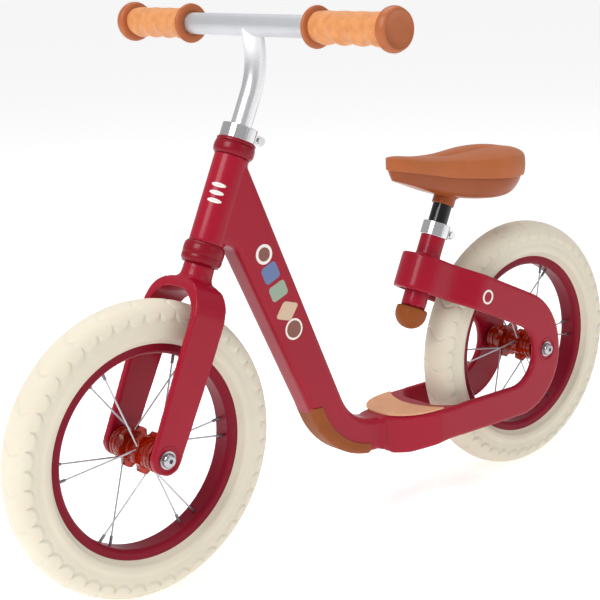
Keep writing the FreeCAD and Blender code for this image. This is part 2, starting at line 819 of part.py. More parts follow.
def make_headset():
    lower = d.head_low - d.cup_height
    turned("lower_cup", STEERING, [
        (d.bearing_radius, lower), (d.cup_radius, lower, 1.0),
        (d.cup_radius, d.head_low, 1.5), (d.head_bore, d.head_low),
        (d.head_bore, d.head_low - d.cup_floor),
        (d.bearing_radius, d.head_low - d.cup_floor)])
    turned("upper_cup", STEERING, [
        (d.head_bore, HEAD_HIGH), (d.cup_radius, HEAD_HIGH, 1.5),
        (d.cup_radius, HEAD_HIGH + d.cup_height, 1.0),
        (d.bearing_radius, HEAD_HIGH + d.cup_height),
        (d.bearing_radius, HEAD_HIGH + d.cup_floor),
        (d.head_bore, HEAD_HIGH + d.cup_floor)])
    inner = d.steerer_radius + d.running_clearance
    floor_low = d.head_low - d.cup_floor
    ring("lower_headset_bearing", STEERING, inner, d.bearing_radius,
         floor_low - d.bearing_height, floor_low, edge=0.5)
    floor_high = HEAD_HIGH + d.cup_floor
    ring("upper_headset_bearing", STEERING, inner, d.bearing_radius,
         floor_high, floor_high + d.bearing_height, edge=0.5)
    race_top = lower - d.joint_gap
    ring("crown_race", STEERING, d.steerer_radius, d.cup_radius,
         race_top - d.race_height, race_top, edge=1.0)
    cap_low = HEAD_HIGH + d.cup_height + d.joint_gap
    ring("headset_cap", STEERING, d.steerer_radius, d.cup_radius,
         cap_low, cap_low + d.cap_height, edge=1.0)
    return cap_low + d.cap_height


# ---------------------------------------------------------------- axle hardware

def make_axle(prefix, system, outer_face, inner_face):
    """Axle rod, two spacers and, outside the dropouts, washers and domed bolts."""
    seat = outer_face - d.recess_depth
    axle = ring("%s_axle" % prefix, system, 0, d.axle_radius, -seat, seat, axis="Y")
    for side, word in ((1, "left"), (-1, "right")):
        tap = start_sketch(axle, "tap_%s" % word, "XZ_Plane", -(seat * side))
        draw_circle(tap, 0, 0, d.shank_radius)
        checked_cut(axle, pocket(axle, tap, d.shank_length, reverse=side > 0))
        near = d.housing_end_y + d.joint_gap
        span = (near * side, inner_face * side)
        low, high = span if side > 0 else (span[1], span[0])
        ring("%s_spacer_%s" % (prefix, word), system, d.axle_radius, d.spacer_radius,
             low, high, axis="Y")
        bolt = start_body("%s_bolt_%s" % (prefix, word), system)
        y0 = seat * side
        y1 = (seat + d.washer_height) * side
        y2 = (seat + d.washer_height + d.bolt_height) * side
        y3 = (seat - d.shank_length) * side
        turn_profile(bolt, "profile", [
            (0, y3), (d.shank_radius, y3), (d.shank_radius, y0), (d.washer_radius, y0),
            (d.washer_radius, y1), (d.bolt_radius, y1), (d.bolt_radius, y2, 3.4), (0, y2)],
            axis="Y")
        hexagon = start_sketch(bolt, "socket", "XZ_Plane", -y2)
        corners = []
        for step in range(6):
            angle = math.radians(60 * step)
            corners.append((d.bolt_socket * math.cos(angle), d.bolt_socket * math.sin(angle)))
        draw_outline(hexagon, corners)
        checked_cut(bolt, pocket(bolt, hexagon, 3.0, reverse=side > 0))


# ---------------------------------------------------------------- fork

def make_fork(cap_top):
    """Inverted U band on the neck, narrowing to round tips at the axle."""
    axle = in_steering(FRONT_AXLE_X, d.wheel_radius)
    body = start_body("fork_arch", STEERING)
    low = axle[1] - d.fork_tip_radius - 4
    roof = d.fork_top - d.fork_roof
    inner = d.fork_out - d.fork_wall
    front = start_sketch(body, "front", "YZ_Plane")
    draw_outline(front, [
        (inner, low), (d.fork_out, low), (d.fork_out, d.fork_top, 36.0),
        (-d.fork_out, d.fork_top, 36.0), (-d.fork_out, low), (-inner, low),
        (-inner, roof, 29.0), (inner, roof, 29.0)])
    pad(body, front, 90.0, symmetric=True)
    trim = start_sketch(body, "trim", "XZ_Plane")
    tip = d.fork_tip_radius
    wide_front = d.fork_mid + d.fork_wide / 2
    wide_rear = d.fork_mid - d.fork_wide / 2
    draw_outline(trim, [
        (axle[0] - tip - 0.5, axle[1] - tip, tip - 0.6),
        (axle[0] + tip + 0.5, axle[1] - tip, tip - 0.6),
        (wide_front, size(46.0), 60.0),
        (wide_front, d.fork_top - 6, 24.0),
        (d.neck_radius - 5, d.fork_top + 8),
        (-(d.neck_radius - 5), d.fork_top + 8),
        (wide_rear, d.fork_top - 6, 24.0),
        (wide_rear, size(46.0), 60.0)])
    draw_outline(trim, [(size(-60.0), low - 20), (size(60.0), low - 20),
                        (size(60.0), d.fork_top + 30), (size(-60.0), d.fork_top + 30)])
    checked_cut(body, pocket(body, trim, symmetric=True))
    turn_profile(body, "neck", [
        (0, roof), (d.neck_radius + 3, roof), (d.neck_radius, d.fork_top + 5, 8.0),
        (d.neck_radius, d.neck_top), (0, d.neck_top)])
    bore = turn_profile(body, "socket", [
        (0, d.neck_top - d.neck_socket), (d.steerer_radius, d.neck_top - d.neck_socket),
        (d.steerer_radius, d.neck_top + 5), (0, d.neck_top + 5)], cut=True)
    checked_cut(body, bore)
    drill_sideways(body, axle[0], axle[1], d.axle_radius)
    for side in (1, -1):
        recess_outside(body, axle[0], axle[1], d.recess_radius, d.fork_out,
                       d.recess_depth, side)
    ring("fork_steerer", STEERING, d.stem_radius + d.running_clearance, d.steerer_radius,
         d.neck_top - d.neck_socket, cap_top + d.stem_collar_height - 1)


# ---------------------------------------------------------------- wheels

def make_wheel(prefix, system):
    """Foam tyre, channel rim, lobed hub, two bearings, spokes and nipples."""
    side = d.rim_half_width
    floor = d.rim_inner + d.rim_floor
    inner_y = side - d.rim_wall
    turned("%s_rim" % prefix, system, [
        (d.rim_inner, -(side - 3), 3.0), (d.rim_inner + 3, -side, 3.0),
        (d.rim_radius, -side, 1.0), (d.rim_radius, -inner_y, 1.0), (floor, -inner_y),
        (floor, inner_y), (d.rim_radius, inner_y, 1.0), (d.rim_radius, side, 1.0),
        (d.rim_inner + 3, side, 3.0), (d.rim_inner, side - 3, 3.0)], axis="Y")
    wide = d.tyre_half_width
    turned("%s_tyre" % prefix, system, [
        (floor, -inner_y), (d.rim_radius, -inner_y), (d.rim_radius + 1, -side, 1.0),
        (d.rim_radius + 8, -wide, 14.0), (d.wheel_radius, -wide, 19.0),
        (d.wheel_radius, wide, 19.0), (d.rim_radius + 8, wide, 14.0),
        (d.rim_radius + 1, side, 1.0), (d.rim_radius, inner_y), (floor, inner_y)], axis="Y")
    make_hub(prefix, system)
    for word, sign in (("left", 1), ("right", -1)):
        outer = (d.housing_end_y - 0.5) * sign
        inner = (d.housing_end_y - 0.5 - d.wheel_bearing_width) * sign
        low, high = (inner, outer) if sign > 0 else (outer, inner)
        ring("%s_bearing_%s" % (prefix, word), system, d.axle_radius + d.running_clearance,
             d.wheel_bearing_radius, low, high, axis="Y", edge=0.5)
    make_spokes(prefix, system)


def make_hub(prefix, system):
    hub = start_body("%s_hub" % prefix, system)
    end = d.housing_end_y
    pocket_y = end - 0.5 - d.wheel_bearing_width
    flange = d.flange_inner_y + d.flange_width
    bore = d.axle_radius + 1.5
    seat = d.wheel_bearing_radius
    house = d.housing_radius
    half = [
        (bore, pocket_y), (seat, pocket_y), (seat, end), (house, end, 1.0),
        (house, end - 3, 0.5), (house - 1, end - 3.5), (house - 1, end - 5.5),
        (house, end - 6), (house, end - 9), (house - 1, end - 9.5), (house - 1, end - 11.5),
        (house, end - 12), (house, flange), (d.flange_radius, flange, 1.5),
        (d.flange_radius, d.flange_inner_y, 1.5), (d.barrel_radius, d.flange_inner_y, 2.0)]
    mirrored = [(c[0], -size(c[1])) + tuple(c[2:]) for c in reversed(half)]
    turn_profile(hub, "profile", half + mirrored, axis="Y")
    notch = start_sketch(hub, "notch", "XZ_Plane")
    radius = d.flange_radius + 3.5
    draw_circle(notch, radius * math.cos(math.radians(30)), radius * 0.5, 7.5)
    cut = pocket(hub, notch, 2 * flange + 0.4, symmetric=True)
    checked_cut(hub, cut)
    pattern = hub.newObject("PartDesign::PolarPattern", "%s_notches" % prefix)
    pattern.Originals = [cut]
    pattern.Axis = (origin_feature(hub, "Y_Axis"), [""])
    pattern.Angle = 360
    pattern.Occurrences = 6
    hub.Tip = pattern


def rod(name, system, start, end, radius):
    """A round rod between two points given in the system of its wheel."""
    reach = end - start
    stick = doc.addObject("Part::Cylinder", name)
    stick.setExpression("Radius", radius.text)
    stick.Height = reach.Length
    base = FreeCAD.Vector(system["x"].value, 0, system["z"].value) + start
    turn = FreeCAD.Rotation(FreeCAD.Vector(0, 0, 1), reach)
    stick.Placement = FreeCAD.Placement(base, turn)
    return stick


def make_spokes(prefix, system):
    """Six spokes to each side, leaving the lobes in pairs and crossing at the rim."""
    spokes, nipples = [], []
    flange_y = d.flange_inner_y.value + d.flange_width.value / 2
    seat = d.spoke_seat_radius.value
    tip = d.rim_inner.value
    for number in range(12):
        sign = 1 if number % 2 == 0 else -1
        lobe = math.radians(-90 + 60 * (number // 2))
        if (number // 2) % 2 == 0:
            hub_y = flange_y
        else:
            hub_y = -flange_y
        lean = lobe + sign * math.radians(d.spoke_lean.value)
        start = FreeCAD.Vector(seat * math.cos(lobe + sign * 0.12), hub_y,
                               seat * math.sin(lobe + sign * 0.12))
        end = FreeCAD.Vector(tip * math.cos(lean), hub_y * 0.18, tip * math.sin(lean))
        reach = (end - start).normalize()
        meet = end - reach * d.nipple_length.value
        spokes.append(rod("%s_spoke_%d" % (prefix, number), system, start, meet,
                          d.spoke_radius))
        nipples.append(rod("%s_nipple_%d" % (prefix, number), system, meet,
                           end + reach * 0.8, d.nipple_radius))
    for label, sticks in (("spokes", spokes), ("nipples", nipples)):
        group = doc.addObject("Part::Compound", "%s_%s" % (prefix, label))
        group.Label = "%s_%s" % (prefix, label)
        group.Links = sticks
        NODES.append(group)


# ---------------------------------------------------------------- handlebar

def make_handlebar():
    stem = start_body("handlebar_stem", STEERING)
    section = start_sketch(stem, "section", "XY_Plane", d.stem_low)
    draw_circle(section, 0, 0, d.stem_radius)
    path = start_sketch(stem, "path", "XZ_Plane")
    draw_outline(path, [
        (0, d.stem_low), (0, d.stem_bend, d.stem_bend_round), (d.bar_forward, d.bar_up)],
        closed=False)
    pipe = stem.newObject("PartDesign::AdditivePipe", "stem_pipe")
    pipe.Profile = section
    pipe.Spine = path
    drill_sideways(stem, d.bar_forward, d.bar_up, d.stem_radius)
    bore = turn_profile(stem, "bore", [
        (0, d.stem_low - 1), (d.stem_bore, d.stem_low - 1),
        (d.stem_bore, d.stem_bend - 20), (0, d.stem_bend - 20)], cut=True)
    checked_cut(stem, bore)
    ring("crossbar", BAR, d.stem_bore, d.stem_radius, -d.bar_half_length, d.bar_half_length,
         axis="Y")
    for side, word in ((1, "left"), (-1, "right")):
        make_grip(side, word)


def make_grip(side, word):
    """Rubber grip in three pieces: inner flange, ribbed sleeve and end bulb."""
    inner = d.stem_radius
    flange_end = d.grip_start + d.grip_flange
    turned("grip_flange_%s" % word, BAR, [
        (inner, d.grip_start * side), (d.grip_flange_radius, d.grip_start * side, 2.4),
        (d.grip_flange_radius, flange_end * side, 2.4), (inner, flange_end * side)], axis="Y")
    outline = [(inner, flange_end * side), (d.grip_radius + 1, flange_end * side)]
    length = d.grip_sleeve_end - flange_end
    for rib in range(4):
        share = (rib + 0.5) / 4
        outline.append((d.grip_radius - 1, (flange_end + length * (share - 0.1)) * side, 6.0))
        outline.append((d.grip_radius + 1, (flange_end + length * (share + 0.1)) * side, 6.0))
    outline.append((d.grip_radius - 0.5, d.grip_sleeve_end * side))
    outline.append((inner, d.grip_sleeve_end * side))
    turned("grip_sleeve_%s" % word, BAR, outline, axis="Y")
    turned("grip_cap_%s" % word, BAR, [
        (inner, d.grip_sleeve_end * side), (d.grip_cap_radius, d.grip_sleeve_end * side, 4.0),
        (d.grip_cap_radius, d.grip_end * side, 5.0), (0, d.grip_end * side),
        (0, d.bar_half_length * side), (inner, d.bar_half_length * side)], axis="Y")


# ---------------------------------------------------------------- saddle

def saddle_plan(body, grow):
    """Cuts a saddle blank to its plan outline."""
    nose, tail = d.saddle_nose_x - grow, d.saddle_tail_x + grow
    half = [
        (tail, d.saddle_half_width - 6 - grow, 30.0),
        (tail + 52, d.saddle_half_width + 1 - grow, 34.0),
        (tail + 118, d.saddle_nose_half + 3 - grow, 60.0),
        (nose, d.saddle_nose_half - grow, d.saddle_nose_half - grow - 1),
    ]
    plan = start_sketch(body, "plan", "XY_Plane")
    draw_outline(plan, both_sides(half))
    draw_outline(plan, [(tail - 60, size(-120.0)), (nose + 60, size(-120.0)),
                        (nose + 60, size(120.0)), (tail - 60, size(120.0))])
    checked_cut(body, pocket(body, plan, symmetric=True))


def make_saddle():
    top = d.saddle_top
    nose, tail = d.saddle_nose_x, d.saddle_tail_x
    seam = [(nose + 3, top - 9), (nose - 84, top - 26.5), (nose - 159, top - 33),
            (tail - 3, top - 31)]
    pad_body = start_body("saddle_pad", GROUND)
    side = start_sketch(pad_body, "side", "XZ_Plane")
    draw_outline(side, [
        (nose + 3, top + 7, 6.0), seam[0], seam[1] + (60.0,), seam[2] + (60.0,), seam[3],
        (tail - 3, top - 4, 6.0), (nose - 140, top + 0.5, 60.0), (nose - 60, top - 2, 60.0)])
    pad(pad_body, side, 150.0, symmetric=True)
    saddle_plan(pad_body, size(0.0))
    high = top.value - 8

    def is_upper(edge):
        box = edge.BoundBox
        middle = (box.ZMax + box.ZMin) / 2
        turning = edge.Vertexes[0].Point.distanceToPoint(edge.Vertexes[-1].Point) > 0.01
        across = box.XLength < 0.01 and box.YLength > 20
        upright = box.ZLength > 12 and box.XLength < 3 and box.YLength < 3
        return middle > high and turning and not across and not upright

    round_edges(pad_body, d.saddle_round, is_upper)
    shell = start_body("shell_blank", GROUND)
    side = start_sketch(shell, "side", "XZ_Plane")
    draw_outline(side, [
        seam[0], (nose - 5, top - 18, 5.0), (nose - 62, top - 43, 30.0),
        (nose - 114, top - 54, 30.0), (nose - 169, top - 59, 30.0),
        (tail + 2, top - 50, 6.0), seam[3], seam[2] + (60.0,), seam[1] + (60.0,)])
    pad(shell, side, 150.0, symmetric=True)
    saddle_plan(shell, size(2.5))
    make_post(shell)


def make_post(shell):
    """Seat post and the bracket, whose top is let into the saddle shell."""
    ring("seat_post", SEAT, 0, d.post_radius, d.post_low, d.bracket_top - 2)
    bracket = start_body("saddle_bracket", SEAT)
    turn_profile(bracket, "socket", [
        (d.post_radius, d.bracket_low), (d.bracket_radius, d.bracket_low, 1.0),
        (d.bracket_radius, d.bracket_top - 6, 4.0),
        (d.bracket_radius + 7, d.bracket_top), (0, d.bracket_top),
        (0, d.bracket_top - 2), (d.post_radius, d.bracket_top - 2)])
    room = start_body("bracket_room", SEAT)
    gap = d.running_clearance
    turn_profile(room, "socket", [
        (0, d.bracket_low), (d.bracket_radius + gap, d.bracket_low),
        (d.bracket_radius + gap, d.bracket_top - 6, 4.0),
        (d.bracket_radius + 7 + gap, d.bracket_top),
        (d.bracket_radius + 7 + gap, d.bracket_top + gap), (0, d.bracket_top + gap)])
    join("saddle_shell", "Cut", shell, room)


make_head_tube()
BEAM = make_beam()
make_scuff_guard(BEAM)
make_deck()
make_footrest_pad()
make_stay("left_stay", 1)
make_stay("right_stay", -1)
make_seat_loop()
make_seat_tube()
make_collar("seat_collar", "seat_collar_bolt", SEAT, d.seat_tube_radius, d.seat_collar_wall,
            d.seat_tube_low + d.seat_tube_length - 14, d.seat_collar_height)
CAP_TOP = make_headset()
make_axle("rear", REAR_WHEEL, d.stay_out, STAY_IN)
make_axle("front", FRONT_WHEEL, d.fork_out, d.fork_out - d.fork_wall)
make_fork(CAP_TOP)
make_collar("stem_collar", "stem_collar_bolt", STEERING, d.steerer_radius,
            d.stem_collar_wall, CAP_TOP, d.stem_collar_height)
make_wheel("front", FRONT_WHEEL)
make_wheel("rear", REAR_WHEEL)
make_handlebar()
make_saddle()

doc.recompute()
faults = [item.Label for item in doc.Objects
          if "Invalid" in item.State or "Error" in item.State]
for node in NODES:
    if node.Shape.isNull() or not node.Shape.isValid():
        faults.append(node.Label)
if faults:
    raise RuntimeError("objects that did not build: %s" % ", ".join(faults))

os.makedirs("parts", exist_ok=True)
for node in NODES:
    node.Shape.exportStep("parts/%s.step" % node.Label)
print("wrote %d sub-parts" % len(NODES))
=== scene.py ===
"""Studio scene of a child's balance bike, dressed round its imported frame."""

from __future__ import annotations

import json
import logging
import math
from dataclasses import dataclass, field
from enum import Enum

import bmesh
import bpy
from mathutils import Matrix, Vector

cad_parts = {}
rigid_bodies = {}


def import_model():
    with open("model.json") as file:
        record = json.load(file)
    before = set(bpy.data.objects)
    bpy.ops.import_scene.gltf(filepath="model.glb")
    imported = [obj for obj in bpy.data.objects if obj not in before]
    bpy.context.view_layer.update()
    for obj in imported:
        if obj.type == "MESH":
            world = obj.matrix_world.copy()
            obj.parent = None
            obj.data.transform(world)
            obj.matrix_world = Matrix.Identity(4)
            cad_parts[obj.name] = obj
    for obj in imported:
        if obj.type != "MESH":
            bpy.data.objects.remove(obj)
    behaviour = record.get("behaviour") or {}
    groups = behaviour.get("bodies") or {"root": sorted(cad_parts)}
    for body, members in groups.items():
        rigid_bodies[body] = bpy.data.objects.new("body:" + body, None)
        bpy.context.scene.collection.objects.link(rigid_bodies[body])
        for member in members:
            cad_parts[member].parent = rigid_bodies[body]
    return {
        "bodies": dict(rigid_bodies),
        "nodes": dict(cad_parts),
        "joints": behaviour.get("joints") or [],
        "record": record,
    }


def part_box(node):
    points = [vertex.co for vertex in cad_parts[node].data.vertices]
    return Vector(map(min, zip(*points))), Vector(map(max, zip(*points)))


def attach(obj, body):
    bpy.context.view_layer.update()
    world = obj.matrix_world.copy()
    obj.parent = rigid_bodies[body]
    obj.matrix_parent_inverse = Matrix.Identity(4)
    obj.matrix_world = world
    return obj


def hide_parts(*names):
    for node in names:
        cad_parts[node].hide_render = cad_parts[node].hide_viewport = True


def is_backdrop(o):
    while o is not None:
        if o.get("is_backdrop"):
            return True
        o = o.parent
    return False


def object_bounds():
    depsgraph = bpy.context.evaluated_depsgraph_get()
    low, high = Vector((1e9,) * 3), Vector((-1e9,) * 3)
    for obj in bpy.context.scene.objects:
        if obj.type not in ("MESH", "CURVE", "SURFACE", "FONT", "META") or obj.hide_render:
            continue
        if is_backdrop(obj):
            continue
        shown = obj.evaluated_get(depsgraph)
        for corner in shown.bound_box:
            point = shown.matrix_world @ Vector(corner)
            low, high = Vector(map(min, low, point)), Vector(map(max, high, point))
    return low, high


LOG = logging.getLogger("balance_bike")
MM = 0.001
FULL_TURN = 2 * math.pi
Y_AXIS = Vector((0, 1, 0))


# ------------------------------------------------------------------ finishes


def linear(hex_colour: str) -> tuple[float, float, float, float]:
    """Turns an sRGB hex colour into the linear colour that a shader reads.

    Args:
        hex_colour: six hex digits, with or without a leading hash.

    Returns:
        Red, green, blue and an alpha of one.
    """
    digits = hex_colour.lstrip("#")
    parts = [int(digits[i : i + 2], 16) / 255 for i in (0, 2, 4)]
    bent = [p / 12.92 if p <= 0.04045 else ((p + 0.055) / 1.055) ** 2.4 for p in parts]
    return (*bent, 1.0)


def add_node(
    tree: bpy.types.NodeTree,
    kind: str,
    settings: dict | None = None,
    values: dict | None = None,
    links: dict | None = None,
) -> bpy.types.Node:
    """Adds one node with its settings, socket values and incoming links.

    Args:
        tree: the node tree that the node joins.
        kind: the node's Blender type name.
        settings: attributes of the node itself.
        values: numbers or colours for its input sockets.
        links: output sockets that feed its input sockets.

    Returns:
        The new node.
    """
    node = tree.nodes.new(kind)
    for name, value in (settings or {}).items():
        setattr(node, name, value)
    for name, value in (values or {}).items():
        node.inputs[name].default_value = value
    for name, socket in (links or {}).items():
        tree.links.new(socket, node.inputs[name])
    return node


class Relief(Enum):
    """What the fine surface relief of a finish is made of."""

    GRAIN = "grain"
    PEBBLE = "pebble"
    LINES = "lines"


@dataclass(frozen=True)
class Finish:
    """A real surface: its colours, gloss and the sizes of its patterns.

    Attributes:
        name: the material's name, after the real finish.
        slot: the record's material slot that it belongs to.
        colour: main colour, sRGB hex.
        shade: second colour that the variation runs to, sRGB hex.
        patch_mm: size of the colour variation.
        share: how far the variation runs towards the second colour.
        roughness: the lowest and highest roughness over the surface.
        metallic: one for bare metal.
        coat: strength of a clear layer over it.
        coat_roughness: how blurred that layer's reflections are.
        relief: what the relief is made of.
        relief_mm: size of one grain, pebble or line.
        depth_mm: depth of the relief.
        stretch: how much longer the relief is along X, Y and Z.
        sheen: soft edge light of leather and foam.
        scatter_mm: how deep light enters, for foam and rubber.
        ior: index of refraction.
        specular: strength of the plain surface reflection.
        clear: how much light passes straight through.
    """

    name: str
    slot: str
    colour: str
    shade: str
    patch_mm: float = 60.0
    share: float = 0.3
    roughness: tuple[float, float] = (0.4, 0.5)
    metallic: float = 0.0
    coat: float = 0.0
    coat_roughness: float = 0.1
    relief: Relief = Relief.GRAIN
    relief_mm: float = 1.5
    depth_mm: float = 0.02
    stretch: tuple[float, float, float] = (1.0, 1.0, 1.0)
    sheen: float = 0.0
    scatter_mm: float = 0.0
    ior: float = 1.5
    specular: float = 0.5
    clear: float = 0.0

    def material(self) -> bpy.types.Material:
        """Builds the material once and gives the same one after that."""
        found = bpy.data.materials.get(self.name)
        if found is not None:
            return found
        made = bpy.data.materials.new(self.name)
        made.use_nodes = True
        tree = made.node_tree
        tree.nodes.clear()
        place = add_node(tree, "ShaderNodeTexCoord").outputs["Object"]
        patches = add_node(
            tree,
            "ShaderNodeTexNoise",
            values={"Scale": 1 / (self.patch_mm * MM), "Detail": 4.0, "Roughness": 0.55},
            links={"Vector": place},
        )
        spread = add_node(
            tree,
            "ShaderNodeMapRange",
            values={"From Min": 0.3, "From Max": 0.7, "To Min": 0.0, "To Max": self.share},
            links={"Value": patches.outputs["Fac"]},
        )
        mixed = add_node(
            tree,
            "ShaderNodeMix",
            settings={"data_type": "RGBA"},
            links={"Factor": spread.outputs["Result"]},
        )
        mixed.inputs[6].default_value = linear(self.colour)
        mixed.inputs[7].default_value = linear(self.shade)
        gloss = add_node(
            tree,
            "ShaderNodeMapRange",
            values={"To Min": self.roughness[0], "To Max": self.roughness[1]},
            links={"Value": patches.outputs["Fac"]},
        )
        bump = add_node(
            tree,
            "ShaderNodeBump",
            values={"Strength": 1.0, "Distance": self.depth_mm * MM},
            links={"Height": self.height(tree, place)},
        )
        surface = add_node(
            tree,
            "ShaderNodeBsdfPrincipled",
            values={
                "Metallic": self.metallic,
                "IOR": self.ior,
                "Specular IOR Level": self.specular,
                "Transmission Weight": self.clear,
                "Coat Weight": self.coat,
                "Coat Roughness": self.coat_roughness,
                "Sheen Weight": self.sheen,
                "Sheen Roughness": 0.5,
            },
            links={
                "Base Color": mixed.outputs[2],
                "Roughness": gloss.outputs["Result"],
                "Normal": bump.outputs["Normal"],
            },
        )
        if self.scatter_mm > 0:
            surface.inputs["Subsurface Weight"].default_value = 0.25
            surface.inputs["Subsurface Scale"].default_value = self.scatter_mm * MM
        add_node(
            tree,
            "ShaderNodeOutputMaterial",
            links={"Surface": surface.outputs["BSDF"]},
        )
        return made

    def height(
        self, tree: bpy.types.NodeTree, place: bpy.types.NodeSocket
    ) -> bpy.types.NodeSocket:
        """Adds the relief's texture.

        Args:
            tree: the material's node tree.
            place: the coordinates that the relief follows.

        Returns:
            The socket that carries the relief's height.
        """
        scaled = add_node(
            tree,
            "ShaderNodeMapping",
            values={"Scale": tuple(1 / (self.relief_mm * MM * s) for s in self.stretch)},
            links={"Vector": place},
        ).outputs["Vector"]
        if self.relief is Relief.PEBBLE:
            cells = add_node(
                tree,
                "ShaderNodeTexVoronoi",
                settings={"feature": "SMOOTH_F1"},
                values={"Scale": 1.0, "Smoothness": 0.6},
                links={"Vector": scaled},
            )
            return cells.outputs["Distance"]
        if self.relief is Relief.LINES:
            waves = add_node(
                tree,
                "ShaderNodeTexNoise",
                values={"Scale": 1.0, "Detail": 1.0},
                links={"Vector": scaled},
            )
            return waves.outputs["Fac"]
        grain = add_node(
            tree,
            "ShaderNodeTexNoise",
            values={"Scale": 1.0, "Detail": 3.0, "Roughness": 0.6},
            links={"Vector": scaled},
        )
        return grain.outputs["Fac"]


# Sprayed and baked enamel on a magnesium casting: even red, a satin clear layer that
# pulls broad soft highlights, and a very slight orange-peel relief.
RED_ENAMEL = Finish(
    "red_baked_enamel", "red_paint", "#9A0A27", "#83071E", patch_mm=90, share=0.35,
    roughness=(0.34, 0.42), specular=0.14, coat=0.22, coat_roughness=0.12,
    relief_mm=2.5, depth_mm=0.012,
)
# Glass-filled nylon, injection moulded: deeper red than the enamel with a plastic gloss.
RED_NYLON = Finish(
    "red_moulded_nylon", "red_rim", "#800A24", "#6A061B", patch_mm=50, share=0.4,
    roughness=(0.32, 0.42), specular=0.14, relief_mm=1.2, depth_mm=0.01,
)
# Expanded EVA foam, moulded: dry cream skin, faintly yellower in patches, fine pores.
EVA_FOAM = Finish(
    "cream_eva_foam", "tyre_foam", "#DAD3C0", "#CFC6B3", patch_mm=70, share=0.5,
    roughness=(0.66, 0.78), relief_mm=1.0, depth_mm=0.03, sheen=0.15, scatter_mm=2.0,
)
# Tinted polycarbonate hub, moulded and polished: amber-red, glassy highlights.
AMBER_PLASTIC = Finish(
    "amber_red_polycarbonate", "hub_plastic", "#C42A06", "#9A1602", patch_mm=12, share=0.6,
    roughness=(0.08, 0.16), relief_mm=4.0, depth_mm=0.05, ior=1.45, specular=0.4, clear=0.55,
)
# Drawn steel wire and turned steel: grey, finely brushed.
DRAWN_STEEL = Finish(
    "drawn_steel", "steel", "#C2C2C8", "#A3A3AA", patch_mm=8, share=0.5,
    roughness=(0.25, 0.38), metallic=1.0, relief=Relief.LINES, relief_mm=0.5, depth_mm=0.004,
)
# Nickel-chrome plate: near-mirror, slightly warm.
CHROME_PLATE = Finish(
    "chrome_plate", "chrome_trim", "#DADADC", "#C4C4C8", patch_mm=20, share=0.3,
    roughness=(0.06, 0.14), metallic=1.0, relief_mm=3.0, depth_mm=0.002,
)
# Satin aluminium tube: pale silver with lengthwise polish marks.
SATIN_ALUMINIUM = Finish(
    "satin_aluminium_tube", "alloy", "#EDEDF0", "#DCDCE0", patch_mm=40, share=0.4,
    roughness=(0.22, 0.32), metallic=1.0, relief=Relief.LINES, relief_mm=0.6, depth_mm=0.001,
    stretch=(1.0, 30.0, 1.0),
)
# Bead-blasted aluminium crossbar: even soft grey without a sharp reflection.
BLASTED_ALUMINIUM = Finish(
    "blasted_aluminium_bar", "alloy", "#C9CACD", "#BBBCC0", patch_mm=30, share=0.4,
    roughness=(0.5, 0.58), metallic=0.85, relief_mm=0.8, depth_mm=0.001,
)
# Nickelled brass nipples, handled and dull: mid grey with a faint metal glint.
DULL_NICKEL = Finish(
    "dull_nickelled_brass", "steel", "#8B888B", "#6F6C70", patch_mm=6, share=0.5,
    roughness=(0.3, 0.42), metallic=0.9, relief_mm=0.6, depth_mm=0.004,
)
# Zinc-plated bolt steel: darker and duller than the chrome trim.
ZINC_BOLT = Finish(
    "zinc_plated_bolt", "chrome_trim", "#B4B3B7", "#98979C", patch_mm=5, share=0.5,
    roughness=(0.2, 0.3), metallic=1.0, relief_mm=1.0, depth_mm=0.004,
)
# Deep red anodised headset cups: glossier and darker than the enamel.
RED_CUP = Finish(
    "red_gloss_cup", "red_paint", "#84081E", "#6E0515", patch_mm=30, share=0.4,
    roughness=(0.25, 0.35), specular=0.14, coat=0.16, coat_roughness=0.15,
    relief_mm=2.0, depth_mm=0.006,
)
# Gloss black electro-coat on a steel tube.
BLACK_COAT = Finish(
    "gloss_black_coat", "black_steel", "#060506", "#0C0B0D", patch_mm=30, share=0.4,
    roughness=(0.14, 0.22), specular=0.3, coat=0.25, coat_roughness=0.05,
    relief_mm=3.0, depth_mm=0.006,
)
# Moulded ochre rubber: matte, slightly mottled from the pigment.
OCHRE_RUBBER = Finish(
    "ochre_moulded_rubber", "brown_rubber", "#8E4814", "#793B0E", patch_mm=18, share=0.45,
    roughness=(0.5, 0.62), specular=0.25, relief_mm=0.9, depth_mm=0.03,
)
# Peach grip-tape rubber on the footrest: dense fine sand-like grain.
PEACH_GRIP = Finish(
    "peach_grip_rubber", "pad_rubber", "#D8A07C", "#CA906C", patch_mm=25, share=0.4,
    roughness=(0.7, 0.85), relief=Relief.PEBBLE, relief_mm=1.3, depth_mm=0.12,
)
# Coated microfibre leather over foam: tan, soft sheen, pebbled grain.
TAN_LEATHER = Finish(
    "tan_microfibre_leather", "saddle_leather", "#AC5E30", "#995024", patch_mm=35, share=0.45,
    roughness=(0.5, 0.62), relief=Relief.PEBBLE, relief_mm=1.6, depth_mm=0.09, sheen=0.1,
    specular=0.3,
)
# Saddle base: brown polypropylene, moulded, satin.
BROWN_SHELL = Finish(
    "brown_polypropylene", "saddle_plastic", "#944616", "#7E380D", patch_mm=40, share=0.4,
    roughness=(0.3, 0.42), specular=0.3, coat=0.15, relief_mm=1.0, depth_mm=0.02,
)
# Grip sleeve: kraton rubber with a tan marbled print.
MARBLED_RUBBER = Finish(
    "marbled_tan_rubber", "grip_rubber", "#D68F52", "#B87139", patch_mm=9, share=0.75,
    roughness=(0.5, 0.62), relief_mm=1.4, depth_mm=0.06, sheen=0.1,
)
# Grip ends: denser brown rubber with a smooth skin.
BROWN_RUBBER = Finish(
    "brown_smooth_rubber", "grip_trim", "#AA5A28", "#91491B", patch_mm=22, share=0.4,
    roughness=(0.4, 0.5), relief_mm=1.2, depth_mm=0.02,
)


